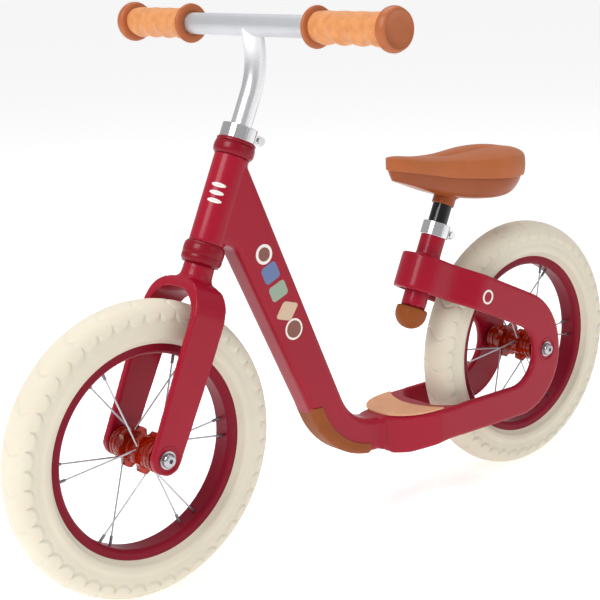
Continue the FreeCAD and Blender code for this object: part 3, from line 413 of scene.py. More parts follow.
@dataclass(frozen=True)
class PrintedVinyl:
    """A sticker's plain printed colour under a gloss film."""

    name: str
    colour: str

    def material(self) -> bpy.types.Material:
        """Builds the vinyl as a thin glossy print with a little dot-screen grain."""
        made = Finish(
            f"vinyl_{self.name}", "red_paint", self.colour, self.colour, patch_mm=6,
            share=0.0, roughness=(0.3, 0.36), relief_mm=0.8, depth_mm=0.004,
        )
        return made.material()


WHITE_VINYL = PrintedVinyl("white", "#E9E2DC")
BLUE_VINYL = PrintedVinyl("blue", "#5A6F9C")
GREEN_VINYL = PrintedVinyl("sage", "#8E9F8C")
CREAM_VINYL = PrintedVinyl("cream", "#C9AE93")
BROWN_VINYL = PrintedVinyl("brown", "#7A4436")


# ------------------------------------------------------------------ mesh tools


def make_piece(
    bm: bmesh.types.BMesh,
    name: str,
    finish: Finish | PrintedVinyl,
    body: str,
    replaces: tuple[str, ...] = (),
    smooth: bool = True,
) -> bpy.types.Object:
    """Turns a finished bmesh into a dressed object that rides on a body.

    Args:
        bm: the mesh, in metres, in the row frame; it is freed here.
        name: the piece's name.
        finish: what it is made of.
        body: the CAD body that it moves with.
        replaces: CAD nodes that it stands for.
        smooth: whether its faces are shaded smooth.

    Returns:
        The new object.
    """
    mesh = bpy.data.meshes.new(name)
    bm.to_mesh(mesh)
    bm.free()
    mesh.polygons.foreach_set("use_smooth", [smooth] * len(mesh.polygons))
    piece = bpy.data.objects.new(name, mesh)
    bpy.context.scene.collection.objects.link(piece)
    mesh.materials.append(finish.material())
    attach(piece, body)
    if replaces:
        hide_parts(*replaces)
    LOG.info("%s: %d faces, on %s", name, len(mesh.polygons), body)
    return piece


def settle(piece: bpy.types.Object) -> None:
    """Applies a piece's modifiers, so that its mesh holds their result."""
    graph = bpy.context.evaluated_depsgraph_get()
    final = bpy.data.meshes.new_from_object(piece.evaluated_get(graph))
    final.name = piece.name + "_mesh"
    final.polygons.foreach_set("use_smooth", [True] * len(final.polygons))
    piece.modifiers.clear()
    piece.data = final


def spun(profile: list[tuple[float, float]], steps: int) -> bmesh.types.BMesh:
    """Spins an outline of (radius, y) points in millimetres round the Y axis.

    Args:
        profile: the outline's points; a closed ring repeats its first point.
        steps: how many segments the full turn has.

    Returns:
        The spun mesh, in metres, round the origin.
    """
    bm = bmesh.new()
    closed = profile[0] == profile[-1]
    points = profile[:-1] if closed else profile
    verts = [bm.verts.new((r * MM, y * MM, 0)) for r, y in points]
    edges = [bm.edges.new(pair) for pair in zip(verts, verts[1:])]
    if closed:
        edges.append(bm.edges.new((verts[-1], verts[0])))
    bmesh.ops.spin(
        bm, geom=verts + edges, cent=(0, 0, 0), axis=Y_AXIS, angle=FULL_TURN,
        steps=steps, use_merge=True,
    )
    bmesh.ops.remove_doubles(bm, verts=bm.verts, dist=1e-6)
    bmesh.ops.recalc_face_normals(bm, faces=bm.faces)
    return bm


def ease(value: float) -> float:
    """Smooth step from nought to one."""
    held = min(1.0, max(0.0, value))
    return held * held * (3 - 2 * held)


def blend_between(knots: list[tuple[float, float]], at: float) -> float:
    """Reads a smooth curve through (position, value) knots.

    Args:
        knots: knots in rising order of position.
        at: where the curve is read.

    Returns:
        The value there, held flat past both ends.
    """
    if at <= knots[0][0]:
        return knots[0][1]
    if at >= knots[-1][0]:
        return knots[-1][1]
    place = next(i for i, knot in enumerate(knots) if at <= knot[0]) - 1

    def slope(index: int) -> float:
        """The curve's slope at a knot, from its neighbours."""
        before, after = knots[max(0, index - 1)], knots[min(len(knots) - 1, index + 1)]
        return (after[1] - before[1]) / (after[0] - before[0])

    (x0, y0), (x1, y1) = knots[place], knots[place + 1]
    span = x1 - x0
    t = (at - x0) / span
    return (
        y0 + (y1 - y0) * ease(t)
        + span * (slope(place) * t * (1 - t) ** 2 - slope(place + 1) * t * t * (1 - t))
    )


# ------------------------------------------------------------------ castings


@dataclass
class Casting:
    """A painted casting whose separate CAD parts run into each other."""

    name: str
    body: str
    parts: tuple[str, ...]
    voxel_mm: float = 1.8
    passes: int = 5
    fillets: tuple[tuple[float, float, float, float, int], ...] = ()

    def build(self, nodes: dict[str, bpy.types.Object]) -> bpy.types.Object:
        """Joins the parts into one skin with eased edges and filleted joints.

        Args:
            nodes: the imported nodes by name.

        Returns:
            The casting.
        """
        bm = bmesh.new()
        for part in self.parts:
            bm.from_mesh(nodes[part].data)
        bmesh.ops.remove_doubles(bm, verts=bm.verts, dist=1e-6)
        piece = make_piece(bm, self.name, RED_ENAMEL, self.body, self.parts)
        skin = piece.modifiers.new("one_skin", "REMESH")
        skin.mode = "VOXEL"
        skin.voxel_size = self.voxel_mm * MM
        soften = piece.modifiers.new("eased_edges", "SMOOTH")
        soften.factor = 0.5
        soften.iterations = self.passes
        settle(piece)
        self.fillet(piece)
        return piece

    def fillet(self, piece: bpy.types.Object) -> None:
        """Smooths the skin further round stated points, as a generous cast fillet.

        Args:
            piece: the casting, already one skin.
        """
        if not self.fillets:
            return
        bm = bmesh.new()
        bm.from_mesh(piece.data)
        for x, y, z, reach, rounds in self.fillets:
            centre = Vector((x, y, z)) * MM
            near = [v for v in bm.verts if (v.co - centre).length < reach * MM]
            core = [v for v in near if (v.co - centre).length < 0.75 * reach * MM]
            for turn in range(rounds):
                chosen = core if turn % 2 else near
                bmesh.ops.smooth_vert(
                    bm, verts=chosen, factor=0.5, use_axis_x=True, use_axis_y=True,
                    use_axis_z=True,
                )
        bm.to_mesh(piece.data)
        bm.free()
        piece.data.polygons.foreach_set("use_smooth", [True] * len(piece.data.polygons))


@dataclass(frozen=True)
class DeckShoulder:
    """Where the beam plugs into the deck: a proud rounded lip and a deeper flank."""

    lip_x: float = -29.0
    lip_out: float = 4.2
    lip_fade: float = 17.0
    belly_start: float = -27.0
    belly_full: float = -50.0
    belly_fade: float = 66.0
    belly_drop: float = 7.5
    middle_z: float = 95.0
    low_z: float = 76.0
    span_x: tuple[float, float] = (-130.0, -20.0)
    top_z: float = 122.0
    half_y: float = 60.0

    def shape(self, piece: bpy.types.Object) -> None:
        """Moves the casting's skin out at the lip and down along the flank.

        Args:
            piece: the frame casting, already one skin.
        """
        for vert in piece.data.vertices:
            x, y, z = (c / MM for c in vert.co)
            on_deck = self.span_x[0] < x < self.span_x[1] and z < self.top_z
            if not on_deck or abs(y) >= self.half_y:
                continue
            past = self.lip_x - x
            lip = ease(past / 2.4) * (1 - ease((past - 3.0) / self.lip_fade))
            lip *= ease((abs(y) - 8.0) / 6.0)
            vert.co.y += math.copysign(self.lip_out * lip, y) * MM
            grow = ease((self.belly_start - x) / 10.0)
            belly = grow * (1 - ease((self.belly_full - x) / self.belly_fade))
            belly *= ease((abs(y) - 10.0) / 10.0)
            depth = min(1.2, max(0.0, (self.middle_z - z) / (self.middle_z - self.low_z)))
            vert.co.z -= self.belly_drop * belly * depth * MM


@dataclass(frozen=True)
class AxleRing:
    """The raised lip round an axle bolt on the outside of a fork leg or stay."""

    wheel: str
    carrier: str
    body: str
    radius: float = 14.2
    width: float = 1.5
    rise: float = 0.5
    root: float = 1.5

    def build(self) -> None:
        """Turns one ring on each side of the bike."""
        low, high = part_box(f"{self.wheel}_hub")
        middle = (low + high) / 2
        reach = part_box(self.carrier)[1].y / MM
        for side, sign in (("left", 1), ("right", -1)):
            inner, outer, face = self.radius - self.width, self.radius, reach + self.rise
            profile = [
                (inner, reach - self.root), (inner, face - 0.2), (inner + 0.3, face),
                (outer - 0.3, face), (outer, face - 0.2), (outer, reach - self.root),
                (inner, reach - self.root),
            ]
            bm = spun(profile, 64)
            bmesh.ops.scale(bm, verts=bm.verts, vec=(1, sign, 1))
            bmesh.ops.recalc_face_normals(bm, faces=bm.faces)
            bmesh.ops.translate(bm, verts=bm.verts, vec=(middle.x, 0, middle.z))
            make_piece(bm, f"axle_ring_{self.wheel}_{side}", RED_ENAMEL, self.body)


# ------------------------------------------------------------------ wheels


@dataclass
class FoamTyre:
    """A solid foam tyre with tongue-shaped shoulder lobes and wave grooves."""

    side: str
    outer: float = 149.9
    crown: float = 24.0
    half_width: float = 21.8
    seat: float = 104.5
    tongues: int = 48
    depth: float = 1.7
    steps: int = 864
    tread_rows: int = 78
    bore_rows: int = 18

    def sink(self, along: float, across: float) -> float:
        """How far the surface lies below the tread's top, in millimetres.

        Args:
            along: distance round the tyre at its outer radius.
            across: distance over the section from the tyre's middle line.

        Returns:
            A depth from nought on the tread to the full step beside it.
        """
        pitch = FULL_TURN * 150 / self.tongues
        offset = 0.0 if across > 0 else pitch / 2
        reach = abs(across)
        local = ((along + offset) % pitch - pitch / 2) / (pitch / 2)
        edge = 21.0 + 8.0 * math.sqrt(max(0.0, 1 - local * local))
        beyond = ease((reach - edge + 0.6) / 1.4)
        swing = 6.0 * math.sin(math.pi * across / 17.0)
        wave = abs((along + swing + pitch) % (2 * pitch) - pitch)
        fade = 1 - ease((reach - 13.0) / 4.0)
        groove = 0.6 * (1 - ease((wave - 0.5) / 1.4)) * fade
        return self.depth * max(beyond, groove)

    def section(self) -> list[tuple[float, float]]:
        """The closed section, dense over the tread and coarse on the bore."""
        turns = [
            math.radians(-50) + math.radians(280) * row / self.tread_rows
            for row in range(self.tread_rows)
        ]
        turns += [
            math.radians(230) + math.radians(80) * row / self.bore_rows
            for row in range(self.bore_rows)
        ]
        middle = self.outer - self.crown
        points = []
        for angle in turns:
            c, s = math.cos(angle), math.sin(angle)
            width = self.half_width * math.copysign(abs(c) ** 0.86, c)
            rise = self.crown * math.copysign(abs(s) ** 0.86, s)
            radius = max(self.seat, middle + rise)
            if radius < 112:
                limit = 12.6 + max(0.0, radius - 108)
                width = math.copysign(min(abs(width), limit), width)
            points.append((radius, width))
        return [*points, points[0]]

    def build(self) -> bpy.types.Object:
        """Spins the section and steps the tread pattern into it."""
        low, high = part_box(f"{self.side}_tyre")
        centre = (low + high) / 2
        middle = self.outer - self.crown
        bm = spun(self.section(), self.steps)
        for vert in bm.verts:
            radius = math.hypot(vert.co.x, vert.co.z) / MM
            across = vert.co.y / MM
            if radius < 118:
                continue
            travel = math.copysign(math.atan2(abs(across), radius - middle) * 22.5, across)
            along = math.atan2(vert.co.z, vert.co.x) % FULL_TURN * 150
            fade = ease((radius - 118) / 6)
            out = Vector((vert.co.x, 0, vert.co.z)).normalized() * (radius - middle)
            push = (out + Vector((0, across, 0))).normalized()
            vert.co -= push * self.sink(along, travel) * fade * MM
        bmesh.ops.translate(bm, verts=bm.verts, vec=centre)
        return make_piece(
            bm, f"{self.side}_foam_tyre", EVA_FOAM, f"{self.side}_wheel",
            (f"{self.side}_tyre",),
        )


# ------------------------------------------------------------------ saddle


@dataclass
class Saddle:
    """Foam saddle pad in leather over a moulded base."""

    length: float = 207.0
    widths: list[tuple[float, float]] = field(
        default_factory=lambda: [
            (0.0, 42.0), (0.14, 47.5), (0.28, 46.5), (0.5, 32.0), (0.65, 25.0),
            (0.85, 21.5), (1.0, 20.0),
        ]
    )
    tops: list[tuple[float, float]] = field(
        default_factory=lambda: [
            (0.0, 392.5), (0.13, 397.0), (0.32, 397.5), (0.6, 395.0), (0.8, 397.0),
            (0.97, 403.0),
        ]
    )
    seams: list[tuple[float, float]] = field(
        default_factory=lambda: [
            (0.0, 366.5), (0.23, 365.5), (0.59, 371.5), (0.8, 380.0), (1.0, 387.5),
        ]
    )
    floors: list[tuple[float, float]] = field(
        default_factory=lambda: [
            (0.0, 349.5), (0.17, 339.5), (0.45, 342.0), (0.7, 353.0), (0.88, 364.5),
            (1.0, 371.5),
        ]
    )

    def block(self, cuts: int) -> bmesh.types.BMesh:
        """A cube cut into a grid on each side, two units across."""
        bm = bmesh.new()
        bmesh.ops.create_cube(bm, size=2)
        bmesh.ops.subdivide_edges(bm, edges=bm.edges, cuts=cuts, use_grid_fill=True)
        return bm

    def build(self) -> None:
        """Makes the pad and the base under it."""
        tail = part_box("saddle_pad")[0].x / MM
        self.pad(tail)
        self.base(tail)

    def plan(self, u: float, v: float, round_off: float) -> tuple[float, float]:
        """Rounds the corners of the plan square.

        Args:
            u: place along the saddle, from -1 to 1.
            v: place across it, from -1 to 1.
            round_off: nought for a square, one for an ellipse.

        Returns:
            The rounded pair.
        """
        return (
            u * math.sqrt(1 - round_off * v * v / 2),
            v * math.sqrt(1 - round_off * u * u / 2),
        )

    def pad(self, tail: float) -> None:
        """Shapes the crowned pad with its relief channel."""
        bm = self.block(15)
        for vert in bm.verts:
            u, v, w = vert.co
            u2, v2 = self.plan(u, v, 0.78)
            share = (u2 + 1) / 2
            width = blend_between(self.widths, share) * 1.09
            bulge = 1 + 0.03 * (1 - w * w) - 0.02 * max(0.0, -w)
            broad = ease((0.7 - share) / 0.35)
            crown = (4.0 + 4.5 * broad) * abs(v) ** 3.2 + 3.0 * abs(u) ** 10
            window = ease((share - 0.1) / 0.12) * (1 - ease((share - 0.5) / 0.2))
            channel = 7.0 * math.exp(-((v2 * width / 6.5) ** 2)) * window
            top = blend_between(self.tops, share) - crown - channel
            seam = blend_between(self.seams, share) - 1.2
            height = (w + 1) / 2
            vert.co = Vector(
                (
                    (tail + 2.0 + (self.length - 4.0) * share) * MM,
                    min(66.0, max(-66.0, v2 * width * bulge)) * MM,
                    (seam + (top - seam) * height) * MM,
                )
            )
        piece = make_piece(bm, "saddle_cushion", TAN_LEATHER, "seat", ("saddle_pad",))
        smooth = piece.modifiers.new("upholstered", "SUBSURF")
        smooth.levels = smooth.render_levels = 2
        settle(piece)

    def base(self, tail: float) -> None:
        """Shapes the hull-like base under the pad."""
        bm = self.block(11)
        for vert in bm.verts:
            u, v, w = vert.co
            u2, v2 = self.plan(u, v, 0.8)
            share = (u2 + 1) / 2
            height = (w + 1) / 2
            width = blend_between(self.widths, share) * 1.05
            hull = 0.78 + 0.2 * math.sin(math.pi / 2 * height)
            seam = blend_between(self.seams, share)
            floor = blend_between(self.floors, share)
            rounding = 5.0 - 3.0 * ease((share - 0.7) / 0.3)
            belly = rounding * max(abs(v), abs(u)) ** 4 * (1 - height)
            drawn_in = share + (0.5 - share) * 0.06 * (1 - height)
            vert.co = Vector(
                (
                    (tail + 3.5 + (self.length - 7.0) * drawn_in) * MM,
                    v2 * width * hull * 0.97 * MM,
                    (floor + belly + (seam - floor - belly) * height) * MM,
                )
            )
        piece = make_piece(bm, "saddle_base", BROWN_SHELL, "seat", ("saddle_shell",))
        smooth = piece.modifiers.new("moulded", "SUBSURF")
        smooth.levels = smooth.render_levels = 2
        settle(piece)


# ------------------------------------------------------------------ grips


@dataclass
class Grip:
    """One handlebar grip: flange, finger-shaped sleeve and end bulb."""

    side: str
    sign: int
    bore: float = 11.0
    flange: tuple[float, float] = (97.0, 103.0)
    flange_radius: float = 20.3
    sleeve_end: float = 199.0
    sleeve_radius: float = 15.0
    end: float = 211.0
    end_radius: float = 21.0
    fingers: int = 4

    def build(self) -> None:
        """Makes the three rubber pieces."""
        low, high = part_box("crossbar")
        centre = (low + high) / 2
        self.ring(centre)
        self.sleeve(centre)
        self.bulb(centre)

    def place(self, bm: bmesh.types.BMesh, centre: Vector) -> bmesh.types.BMesh:
        """Mirrors a left-hand mesh to this side and moves it onto the bar.

        Args:
            bm: the mesh round the origin, drawn for the left side.
            centre: the bar's middle.

        Returns:
            The same mesh in its place.
        """
        if self.sign < 0:
            bmesh.ops.scale(bm, verts=bm.verts, vec=(1, -1, 1))
        bmesh.ops.recalc_face_normals(bm, faces=bm.faces)
        bmesh.ops.translate(bm, verts=bm.verts, vec=centre)
        return bm

    def ring(self, centre: Vector) -> None:
        """The thick rounded flange beside the thumb."""
        near, far = self.flange
        radius = self.flange_radius
        profile = [
            (self.bore, near), (radius - 4.5, near), (radius - 1.6, near + 0.6),
            (radius - 0.2, near + 2.2), (radius, near + 3.4), (radius - 0.6, far - 1.0),
            (radius - 2.6, far - 0.1), (self.sleeve_radius - 1, far), (self.bore, far),
            (self.bore, near),
        ]
        bm = self.place(spun(profile, 96), centre)
        make_piece(
            bm, f"grip_collar_{self.side}", BROWN_RUBBER, "handlebar",
            (f"grip_flange_{self.side}",),
        )

    def sleeve(self, centre: Vector) -> None:
        """The marbled sleeve, waved underneath for the fingers."""
        start, stop = self.flange[1], self.sleeve_end
        rows = 64
        profile = [(self.bore, start)]
        for row in range(rows + 1):
            profile.append((self.sleeve_radius, start + (stop - start) * row / rows))
        profile.append((self.bore, stop))
        profile.append((self.bore, start))
        bm = spun(profile, 96)
        span = (stop - start) / self.fingers
        for vert in bm.verts:
            radius = math.hypot(vert.co.x, vert.co.z) / MM
            if radius < self.sleeve_radius - 1:
                continue
            along = vert.co.y / MM - start
            wave = math.cos(FULL_TURN * (along / span + 0.5))
            under = 0.25 + 0.75 * ease(0.5 - vert.co.z / MM / self.sleeve_radius)
            taper = 0.9 * ease((stop - start - along) / 8) - 0.2
            grown = self.sleeve_radius + taper * 0.4 + 0.95 * wave * under
            vert.co.x *= grown / radius
            vert.co.z *= grown / radius
        self.place(bm, centre)
        make_piece(
            bm, f"grip_marbled_{self.side}", MARBLED_RUBBER, "handlebar",
            (f"grip_sleeve_{self.side}",),
        )

    def bulb(self, centre: Vector) -> None:
        """The mushroom end with its flat, slightly dished disc."""
        near, far, radius = self.sleeve_end - 0.5, self.end, self.end_radius
        profile = [
            (self.bore, near), (radius - 4.5, near), (radius - 1.9, near + 0.7),
            (radius - 0.5, near + 2.4), (radius, near + 4.6), (radius - 0.1, near + 7.0),
            (radius - 0.8, near + 9.0), (radius - 2.0, far - 1.0), (radius - 3.4, far - 0.1),
            (radius - 4.0, far - 0.1), (radius - 4.6, far - 0.8), (8.0, far - 0.9),
            (0.0, far - 0.9),
        ]
        bm = self.place(spun(profile, 96), centre)
        make_piece(
            bm, f"grip_bulb_{self.side}", BROWN_RUBBER, "handlebar",
            (f"grip_cap_{self.side}",),
        )


# ------------------------------------------------------------------ footrest


@dataclass
class FootrestGrip:
    """The grip pad on the footrest: a crescent that follows the deck's front."""

    half: tuple[tuple[float, float], ...] = (
        (-38.0, 0.0), (-38.6, 8.0), (-40.8, 16.0), (-45.5, 24.0), (-52.0, 31.0), (-61.0, 37.0),
        (-72.0, 41.2), (-84.0, 43.6), (-99.0, 44.8), (-102.2, 44.4), (-102.6, 43.2),
        (-98.0, 38.0), (-92.0, 28.0), (-88.2, 18.0), (-85.8, 9.0), (-85.0, 0.0),
    )

    def build(self) -> None:
        """Cuts the pad, rounds its edge and lays it on the deck."""
        low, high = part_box("footrest_pad")
        right = [(x, -y) for x, y in reversed(self.half[1:-1])]
        bm = bmesh.new()
        verts = [bm.verts.new((x * MM, y * MM, low.z)) for x, y in (*self.half, *right)]
        bm.faces.new(verts)
        made = bmesh.ops.extrude_face_region(bm, geom=bm.faces[:])
        grown = [g for g in made["geom"] if isinstance(g, bmesh.types.BMVert)]
        bmesh.ops.translate(bm, verts=grown, vec=(0, 0, high.z - low.z))
        bmesh.ops.recalc_face_normals(bm, faces=bm.faces)
        rim = [e for e in bm.edges if all(v.co.z > high.z - 1e-6 for v in e.verts)]
        bmesh.ops.bevel(bm, geom=rim, offset=0.9 * MM, segments=3, profile=0.5, affect="EDGES")
        bmesh.ops.triangulate(bm, faces=bm.faces)
        make_piece(bm, "footrest_grip", PEACH_GRIP, "frame", ("footrest_pad",), smooth=False)


# ------------------------------------------------------------------ headset


@dataclass
class Headset:
    """The headset's glossy cups and the head tube, turned about the steering axis."""

    nodes: dict
    axis: Vector
    foot: Vector

    def reach(self, node: str) -> tuple[float, float, float]:
        """Measures a round node about the steering axis.

        Args:
            node: the node's name.

        Returns:
            Its lowest and highest place along the axis and its radius, in mm.
        """
        heights, radii = [], []
        for vert in self.nodes[node].data.vertices:
            arm = vert.co - self.foot
            along = arm.dot(self.axis)
            heights.append(along / MM)
            radii.append((arm - self.axis * along).length / MM)
        return min(heights), max(heights), max(radii)

    def stand(self, bm: bmesh.types.BMesh) -> bmesh.types.BMesh:
        """Turns a mesh spun about the Y axis onto the steering axis."""
        bmesh.ops.rotate(
            bm, verts=bm.verts, cent=(0, 0, 0),
            matrix=Y_AXIS.rotation_difference(self.axis).to_matrix(),
        )
        bmesh.ops.translate(bm, verts=bm.verts, vec=self.foot)
        return bm

    def cup(
        self, name: str, node: str, body: str, shape: list[tuple[float, float]], bore: float
    ) -> None:
        """Turns one cup.

        Args:
            name: the piece's name.
            node: the CAD node that it stands for.
            body: the body that it rides on.
            shape: (share of height, radius inset in mm) up the outside.
            bore: radius of the hole through it, in mm.
        """
        low, high, radius = self.reach(node)
        outer = [(radius - inset, low + (high - low) * share) for share, inset in shape]
        profile = [(bore, low), *outer, (bore, high), (bore, low)]
        make_piece(self.stand(spun(profile, 96)), name, RED_CUP, body, (node,))

    def sleeve(self) -> None:
        """Turns the head tube's painted outside, true and crisp against the beam."""
        low, high, radius = self.reach("head_tube")
        outer = radius + 0.25
        lower, upper = low + 1, high - 1
        profile = [
            (outer - 1.5, lower), (outer - 0.3, lower), (outer, lower + 0.4), (outer, lower + 3),
            (outer, upper - 3), (outer, upper - 0.4), (outer - 0.3, upper), (outer - 1.5, upper),
            (outer - 1.5, lower),
        ]
        make_piece(self.stand(spun(profile, 128)), "head_tube_sleeve", RED_ENAMEL, "frame")

    def build(self) -> None:
        """Makes the two cups, the crown race, the top cap and the tube's outside."""
        top = [
            (-0.1, 3.2), (-0.02, 1.8), (0.12, 0.6), (0.4, 0), (0.7, 0.2), (0.92, 0.7),
            (1, 1.2),
        ]
        barrel = [
            (-0.04, 0.6), (0.06, 0.2), (0.4, 0), (0.7, 0.2), (0.9, 1.0), (1.02, 2.2),
            (1.1, 3.3),
        ]
        ring = [
            (-0.35, 2.6), (0, 1.4), (0.15, 0.7), (0.4, 0.3), (0.7, 0.3), (0.95, 0.4),
            (1.08, 0.7),
        ]
        cap = [(-0.1, 1.3), (0.25, 0.9), (0.7, 1.1), (1, 2.4)]
        self.cup("headset_cup_lower", "lower_cup", "frame", barrel, 19.0)
        self.cup("headset_cup_upper", "upper_cup", "frame", top, 19.0)
        self.cup("headset_race", "crown_race", "fork", ring, 14.5)
        self.sleeve()
        self.cup("headset_top_cap", "headset_cap", "fork", cap, 14.5)


# ------------------------------------------------------------------ stickers


@dataclass
class Sticker:
    """A thin flat vinyl shape on a vertical face that looks along Y."""

    name: str
    place: tuple[float, float, float]
    corners: int
    size: tuple[float, float]
    turn: float
    vinyl: PrintedVinyl
    body: str = "frame"
    thickness: float = 0.25
    turn_first: float = 0.0

    def build(self) -> None:
        """Cuts the shape from a disc of vinyl and lays it on the face."""
        bm = bmesh.new()
        bmesh.ops.create_circle(bm, cap_ends=True, segments=self.corners, radius=MM)
        first = Matrix.Rotation(math.radians(self.turn_first), 3, "Z")
        bmesh.ops.rotate(bm, verts=bm.verts, cent=(0, 0, 0), matrix=first)
        bmesh.ops.scale(bm, verts=bm.verts, vec=(self.size[0] / 2, self.size[1] / 2, 1))
        if self.corners < 12:
            bmesh.ops.bevel(
                bm, geom=bm.verts[:], offset=min(self.size) * 0.16 * MM, segments=5,
                profile=0.5, affect="VERTICES", material=-1,
            )
        turned = Matrix.Rotation(math.radians(self.turn), 3, "Z")
        upright = Matrix.Rotation(math.radians(-90), 3, "X") @ turned
        bmesh.ops.rotate(bm, verts=bm.verts, cent=(0, 0, 0), matrix=upright)
        made = bmesh.ops.extrude_face_region(bm, geom=bm.faces[:])
        grown = [g for g in made["geom"] if isinstance(g, bmesh.types.BMVert)]
        bmesh.ops.translate(bm, verts=grown, vec=(0, self.thickness * MM, 0))
        bmesh.ops.translate(bm, verts=bm.verts, vec=Vector(self.place) * MM)
        bmesh.ops.recalc_face_normals(bm, faces=bm.faces)
        make_piece(bm, self.name, self.vinyl, self.body, smooth=False)


@dataclass
class Ring:
    """A thin white ring-shaped emblem, laid flat or wrapped round a tube."""

    name: str
    centre: Vector
    outward: Vector
    upward: Vector
    size: tuple[float, float]
    band: float
    body: str
    tube: float = 0.0
    lift: float = 0.15
    thickness: float = 0.3
    steps: int = 64

    def build(self) -> None:
        """Lays rows of the band on the surface and gives them a thickness."""
        side = self.upward.cross(self.outward).normalized()
        bm = bmesh.new()
        loops = []
        for inset, lift in (
            (0.0, -0.2), (0.0, self.thickness), (self.band / 2, self.thickness + 0.05),
            (self.band, self.thickness), (self.band, -0.2),
        ):
            loop = []
            for step in range(self.steps):
                turn = FULL_TURN * step / self.steps
                across = math.cos(turn) * (self.size[0] / 2 - inset)
                along = math.sin(turn) * (self.size[1] / 2 - inset)
                rise = self.lift + lift
                if self.tube:
                    bend = across / self.tube
                    reach = self.tube + rise
                    offset = side * math.sin(bend) * reach
                    offset += self.outward * (math.cos(bend) * reach)
                else:
                    offset = side * across + self.outward * rise
                loop.append(bm.verts.new(self.centre + (offset + self.upward * along) * MM))
            loops.append(loop)
        for row, inner in enumerate(loops):
            outer = loops[row - 1]
            for step in range(self.steps):
                bm.faces.new((outer[step], outer[step - 1], inner[step - 1], inner[step]))
        bmesh.ops.recalc_face_normals(bm, faces=bm.faces)
        make_piece(bm, self.name, WHITE_VINYL, self.body)


STICKERS = (
    Sticker("sticker_ring", (126.5, 16.4, 324.5), 40, (21, 21), 0, WHITE_VINYL),
    Sticker("sticker_ring_centre", (126.5, 16.6, 324.5), 40, (14.5, 14.5), 0, BROWN_VINYL),
    Sticker("sticker_blue", (119.0, 16.4, 304.0), 4, (29, 27), 24, BLUE_VINYL, turn_first=45),
    Sticker("sticker_green", (109.5, 16.4, 283.6), 4, (31, 24), 22, GREEN_VINYL, turn_first=45),
    Sticker("sticker_diamond", (98.8, 16.4, 260.5), 4, (33, 24), 20, CREAM_VINYL),
    Sticker("sticker_disc", (90.6, 16.4, 239.6), 40, (23, 23), 0, WHITE_VINYL),
    Sticker("sticker_disc_centre", (90.6, 16.6, 239.6), 40, (18.5, 18.5), 0, BROWN_VINYL),
)


BADGE_TURN = math.radians(38)
BADGE_BARS = (
    ("badge_bar_up4", 3.5), ("badge_bar_down4", -4.5), ("badge_bar_down12", -12.5),
)
STAY_MARK = Vector((-171.3, 48.5, 232.7)) * MM


def add_emblems(headset: Headset) -> None:
    """Lays three plain bars on the head tube and a plain ring on the left stay.

    Args:
        headset: where the head tube and its axis are.
    """
    axis = headset.axis
    low, high, radius = headset.reach("head_tube")
    front = axis.cross(Y_AXIS).normalized()
    ahead = -front if front.x < 0 else front
    outward = ahead * math.cos(BADGE_TURN) + Y_AXIS * math.sin(BADGE_TURN)
    middle = headset.foot + axis * (low + (high - low) * 0.6) * MM
    for name, place in BADGE_BARS:
        Ring(
            name, middle + axis * place * MM, outward, axis, (15, 4.4), 2.1, "frame",
            tube=radius + 0.2,
        ).build()
    Ring(
        "stay_ring", STAY_MARK, Y_AXIS, Vector((0, 0, 1)), (17, 17), 2.4, "frame",
    ).build()


# ------------------------------------------------------------------ studio


